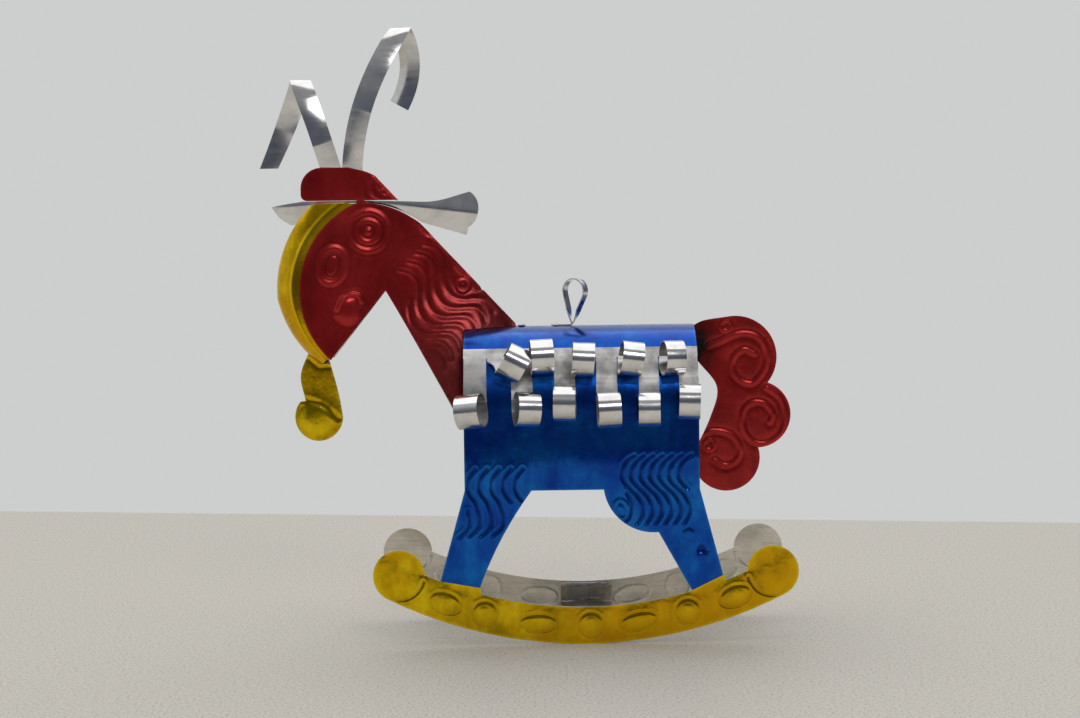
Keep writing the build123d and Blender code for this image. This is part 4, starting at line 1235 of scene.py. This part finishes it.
def build_fringe(name, side):
    cuts = body_front + (body_rear - body_front) * np.array(FINGER_CUTS)
    bend = 1.0 if side < 0 else FAR_BENDS
    shape = Shape()
    rows = []
    for turn in np.radians(np.linspace(FRINGE_START, COMB_START, 12)):
        y, z = fringe_reach * math.sin(turn), spring_height + fringe_reach * math.cos(turn)
        rows.append([(x, side * y, z) for x in np.linspace(body_front, body_rear, 90)])
    ribbon(shape, np.array(rows), outward=np.array([0, side, 0.5]))
    for finger, (start, end) in enumerate(zip(cuts, cuts[1:])):
        short = finger % 2 == 1
        index = finger if side < 0 else len(cuts) - 2 - finger
        to_angle = (HIGH_CURL_AT if short else LOW_CURL_AT) - FINGER_SHORT[index]
        path = finger_path(to_angle, CURL_RADIUS - CURL_CHANCE * rng.random())
        grid = finger_grid(path, end - start - SLIT, to_angle, index, bend)
        lift_finger(grid, to_angle, FINGER_OVERLAP if short else 0.0)
        grid[:, :, 0] += (start + end) / 2
        grid[:, :, 1] *= side
        outward = np.zeros_like(grid)
        outward[:SHOULDER_ROWS, :, 1] = side
        ribbon(shape, grid, outward=outward)
    shape.finish_piece(name, (SHADED_STRIP_TIN, TIN, CUT), [name])


# Hanging loop

LOOP_X = -2.9
LOOP_STRIP = 2.5
LOOP_FOOT = 5.0
LOOP_HEIGHT = 14.6
LOOP_RADIUS = 3.9
LOOP_LEAN = 1.3
LOOP_TWIST = math.radians(-36)


def build_loop():
    foot = np.array([LOOP_X, body_top + SHEET / 2])
    centre = foot + np.array([LOOP_LEAN, LOOP_HEIGHT - LOOP_RADIUS])
    axis = centre - foot
    spread = math.asin(LOOP_RADIUS / np.linalg.norm(axis))
    lean = math.atan2(axis[1], axis[0])
    path = [(x, foot[1]) for x in np.linspace(LOOP_X - LOOP_FOOT, LOOP_X - 0.6, 8)]
    path += [(LOOP_X - 0.1, foot[1] + 0.2)]
    ends = [math.degrees(lean + turn * (math.pi / 2 + spread)) for turn in (-1, 1)]
    arc_points = arc(centre, LOOP_RADIUS, *ends, 40)
    first, last = np.array(arc_points[0]), np.array(arc_points[-1])
    path += [tuple(foot + (first - foot) * k) for k in np.linspace(0.12, 0.95, 12)]
    path += arc_points
    path += [tuple(last + (foot - last) * k) for k in np.linspace(0.06, 0.95, 12)]
    across = np.linspace(-LOOP_STRIP / 2, LOOP_STRIP / 2, 5)
    grid = np.array([[(x, a, z) for a in across] for x, z in path])
    rise = np.clip((grid[:, :, 2] - body_top - 1.0) / 4.0, 0, 1) * LOOP_TWIST
    from_axis = grid[:, :, 0] - LOOP_X
    aside = grid[:, :, 1].copy()
    grid[:, :, 0] = LOOP_X + from_axis * np.cos(rise) - aside * np.sin(rise)
    grid[:, :, 1] = from_axis * np.sin(rise) + aside * np.cos(rise)
    shape = Shape()
    ribbon(shape, grid)
    shape.finish_piece("hanging_loop", (LOOP_TIN, LOOP_TIN, CUT), ["hanging_loop"])


# Solder

def bead(shape, centre, size, lumps=0.18):
    """A lumpy drop of solder."""
    rows, columns = 9, 14
    phase = rng.random(3) * 6.28
    polar = math.pi * (np.arange(rows)[:, None] + 0.5) / rows
    turn = 2 * math.pi * np.arange(columns)[None, :] / columns
    swell = np.sin(2 * turn + phase[0]) * np.sin(polar) + 0.6 * np.sin(3 * polar + phase[1])
    ball = [np.sin(polar) * np.cos(turn), np.sin(polar) * np.sin(turn), np.cos(polar) + 0 * turn]
    ball = np.stack(ball, axis=2) * (1 + lumps * swell)[..., None]
    points = (np.array(centre) + np.array(size) * ball).reshape(-1, 3)
    faces = []
    for i in range(rows - 1):
        for j in range(columns):
            k = (j + 1) % columns
            faces.append((i * columns + j, (i + 1) * columns + j, (i + 1) * columns + k, i * columns + k))
    faces.append(tuple(range(columns)))
    faces.append(tuple(range(rows * columns - 1, (rows - 1) * columns - 1, -1)))
    zeros = np.zeros(len(points))
    shape.add(points, faces, [0] * len(faces), zeros, zeros + 5)


# Half sizes of the beads
FOOT_BEAD = (1.5, 0.45, 0.75)
STRAP_BEAD = (1.4, 0.45, 0.7)
TAIL_BEAD = (1.2, 0.6, 0.6)
FLAT_BEAD = (1.3, 1.0, 0.28)


def build_beads(name, node, places, size):
    shape = Shape()
    for place in places:
        bead(shape, place, size)
    shape.finish_piece(name, (SOLDER,), [node])


def build_solder():
    side_y = half_width - 0.2
    places = []
    for line in leg_lines():
        feet = [p for p in line if abs(math.hypot(p[0], ROCKER_RADIUS - p[1]) - foot_radius) < 0.05]
        for side in (1, -1):
            for x in np.linspace(feet[0][0] + 1.2, feet[-1][0] - 1.2, 6):
                z = ROCKER_RADIUS - math.sqrt((foot_radius + 0.3) ** 2 - x**2)
                places.append((x, side * side_y, z))
    build_beads("solder_feet", "solder_legs", places, FOOT_BEAD)
    low, high = node_box("solder_strap")
    along = np.linspace(low[0] + 1, high[0] - 1, 8)
    places = [(x, side * side_y, low[2] + 0.5) for side in (1, -1) for x in along]
    build_beads("solder_strap", "solder_strap", places, STRAP_BEAD)
    low, high = node_box("solder_tail")
    along = np.linspace(low[0] + 1, high[0] - 0.8, 5)
    places = [(x, side * 0.7, high[2] - 0.5) for side in (1, -1) for x in along]
    build_beads("solder_tail", "solder_tail", places, TAIL_BEAD)
    for node in ("solder_loop", "solder_neck"):
        x, y, z = np.mean(node_box(node), axis=0)
        build_beads(node, node, [(x, y + shift, z) for shift in (-0.6, 0, 0.6)], FLAT_BEAD)


build_body()
build_rocker("rocker_left", -1)
build_rocker("rocker_right", 1)
build_strap()
build_head()
build_band()
build_horns()
build_ears()
build_tail()
build_fringe("fringe_left", -1)
build_fringe("fringe_right", 1)
build_loop()
build_solder()


# Floor, light and camera

TABLE_HALF = 0.95
TABLE_FRONT = -0.62
TABLE_BACK = 0.26
TABLE_SKEW = 0.18
FLOOR_TINTS = [(0.36, (0.46, 0.425, 0.365)), (0.46, (0.65, 0.615, 0.54)), (0.68, (0.73, 0.7, 0.63))]


def build_floor():
    """A pale speckled table top in front of a pale wall."""
    mesh = bpy.data.meshes.new("floor")
    corners = [(-TABLE_HALF, TABLE_FRONT, 0), (TABLE_HALF, TABLE_FRONT, 0)]
    corners += [(x, TABLE_BACK - TABLE_SKEW * x, 0) for x in (TABLE_HALF, -TABLE_HALF)]
    mesh.from_pydata(corners, [], [(0, 1, 2, 3)])
    floor = bpy.data.objects.new("floor", mesh)
    bpy.context.scene.collection.objects.link(floor)
    look = Look("floor")
    speck = look.noise(1100, 5)
    look.set("Base Color", look.ramp(speck, FLOOR_TINTS))
    look.set("Roughness", 0.55)
    mesh.materials.append(look.material)


# Colours of the surroundings by height, from straight down (0) to straight up (1)
ROOM = [
    (0.0, (0.42, 0.41, 0.38)),
    (0.43, (0.42, 0.41, 0.38)),
    (0.465, (0.12, 0.12, 0.13)),
    (0.53, (0.068, 0.076, 0.1)),
    (0.65, (0.1, 0.108, 0.13)),
    (0.8, (0.24, 0.245, 0.26)),
    (0.92, (0.26, 0.26, 0.27)),
    (1.0, (0.16, 0.16, 0.17)),
]
WALL = [
    (0.0, (0.61, 0.62, 0.615)),
    (0.6, (0.61, 0.62, 0.615)),
    (0.85, (0.72, 0.72, 0.73)),
    (1.0, (0.16, 0.16, 0.17)),
]
# How far the wall reaches round to the left, and how softly it passes into the room
WALL_TURN = -0.9
WALL_BLEND = 0.35


def build_world():
    """Soft surroundings: a bright ceiling, a pale wall behind and to the left, a darker room in front."""
    world = bpy.data.worlds.new("studio")
    bpy.context.scene.world = world
    wiring = Wiring(world)
    where = wiring.node("TexCoord").outputs["Generated"]
    parts = wiring.node("SeparateXYZ", {0: where}).outputs
    lift = wiring.spread(parts["Z"], -1, 1)
    aside = {0: parts["X"], 1: WALL_TURN, 2: parts["Y"]}
    behind = wiring.node("Math", aside, operation="MULTIPLY_ADD").outputs[0]
    share = wiring.spread(behind, -WALL_BLEND, WALL_BLEND)
    colour = wiring.mix(share, wiring.ramp(lift, ROOM), wiring.ramp(lift, WALL))
    wiring.feed(wiring.tree.nodes["Background"], "Color", colour)


# Each lamp's place, aim, size in metres and power in watts
LAMPS = {
    "window": ((0.28, -1.1, 0.84), (0, 0, 0.1), (0.42, 0.34), 1.6),
    "ceiling": ((0, 0.4, 1.6), (0, 0.4, 0), (2.8, 2.2), 18.5),
}


def build_lamp(name, place, aim, size, power):
    data = bpy.data.lights.new(name, "AREA")
    data.shape = "RECTANGLE"
    data.size, data.size_y = size
    data.energy = power
    lamp = bpy.data.objects.new(name, data)
    lamp.location = place
    lamp.rotation_euler = (Vector(aim) - Vector(place)).to_track_quat("-Z", "Y").to_euler()
    bpy.context.scene.collection.objects.link(lamp)


# The camera stands level with the horns and looks slightly down, turned a little about its axis
CAMERA_PLACE = (-0.01325, -0.7217, 0.13579)
CAMERA_PITCH = 3.89
CAMERA_ROLL = -0.8
LENS = 76.0
SENSOR = 36.0


def build_camera():
    data = bpy.data.cameras.new("camera")
    data.lens = LENS
    data.sensor_width = SENSOR
    camera = bpy.data.objects.new("camera", data)
    pitch = Matrix.Rotation(math.radians(90 - CAMERA_PITCH), 4, "X")
    roll = Matrix.Rotation(math.radians(CAMERA_ROLL), 4, "Z")
    camera.matrix_world = Matrix.Translation(CAMERA_PLACE) @ pitch @ roll
    bpy.context.scene.collection.objects.link(camera)
    bpy.context.scene.camera = camera


build_floor()
build_world()
for lamp_name, settings in LAMPS.items():
    build_lamp(lamp_name, *settings)
build_camera()
bpy.context.scene.view_settings.view_transform = "Standard"
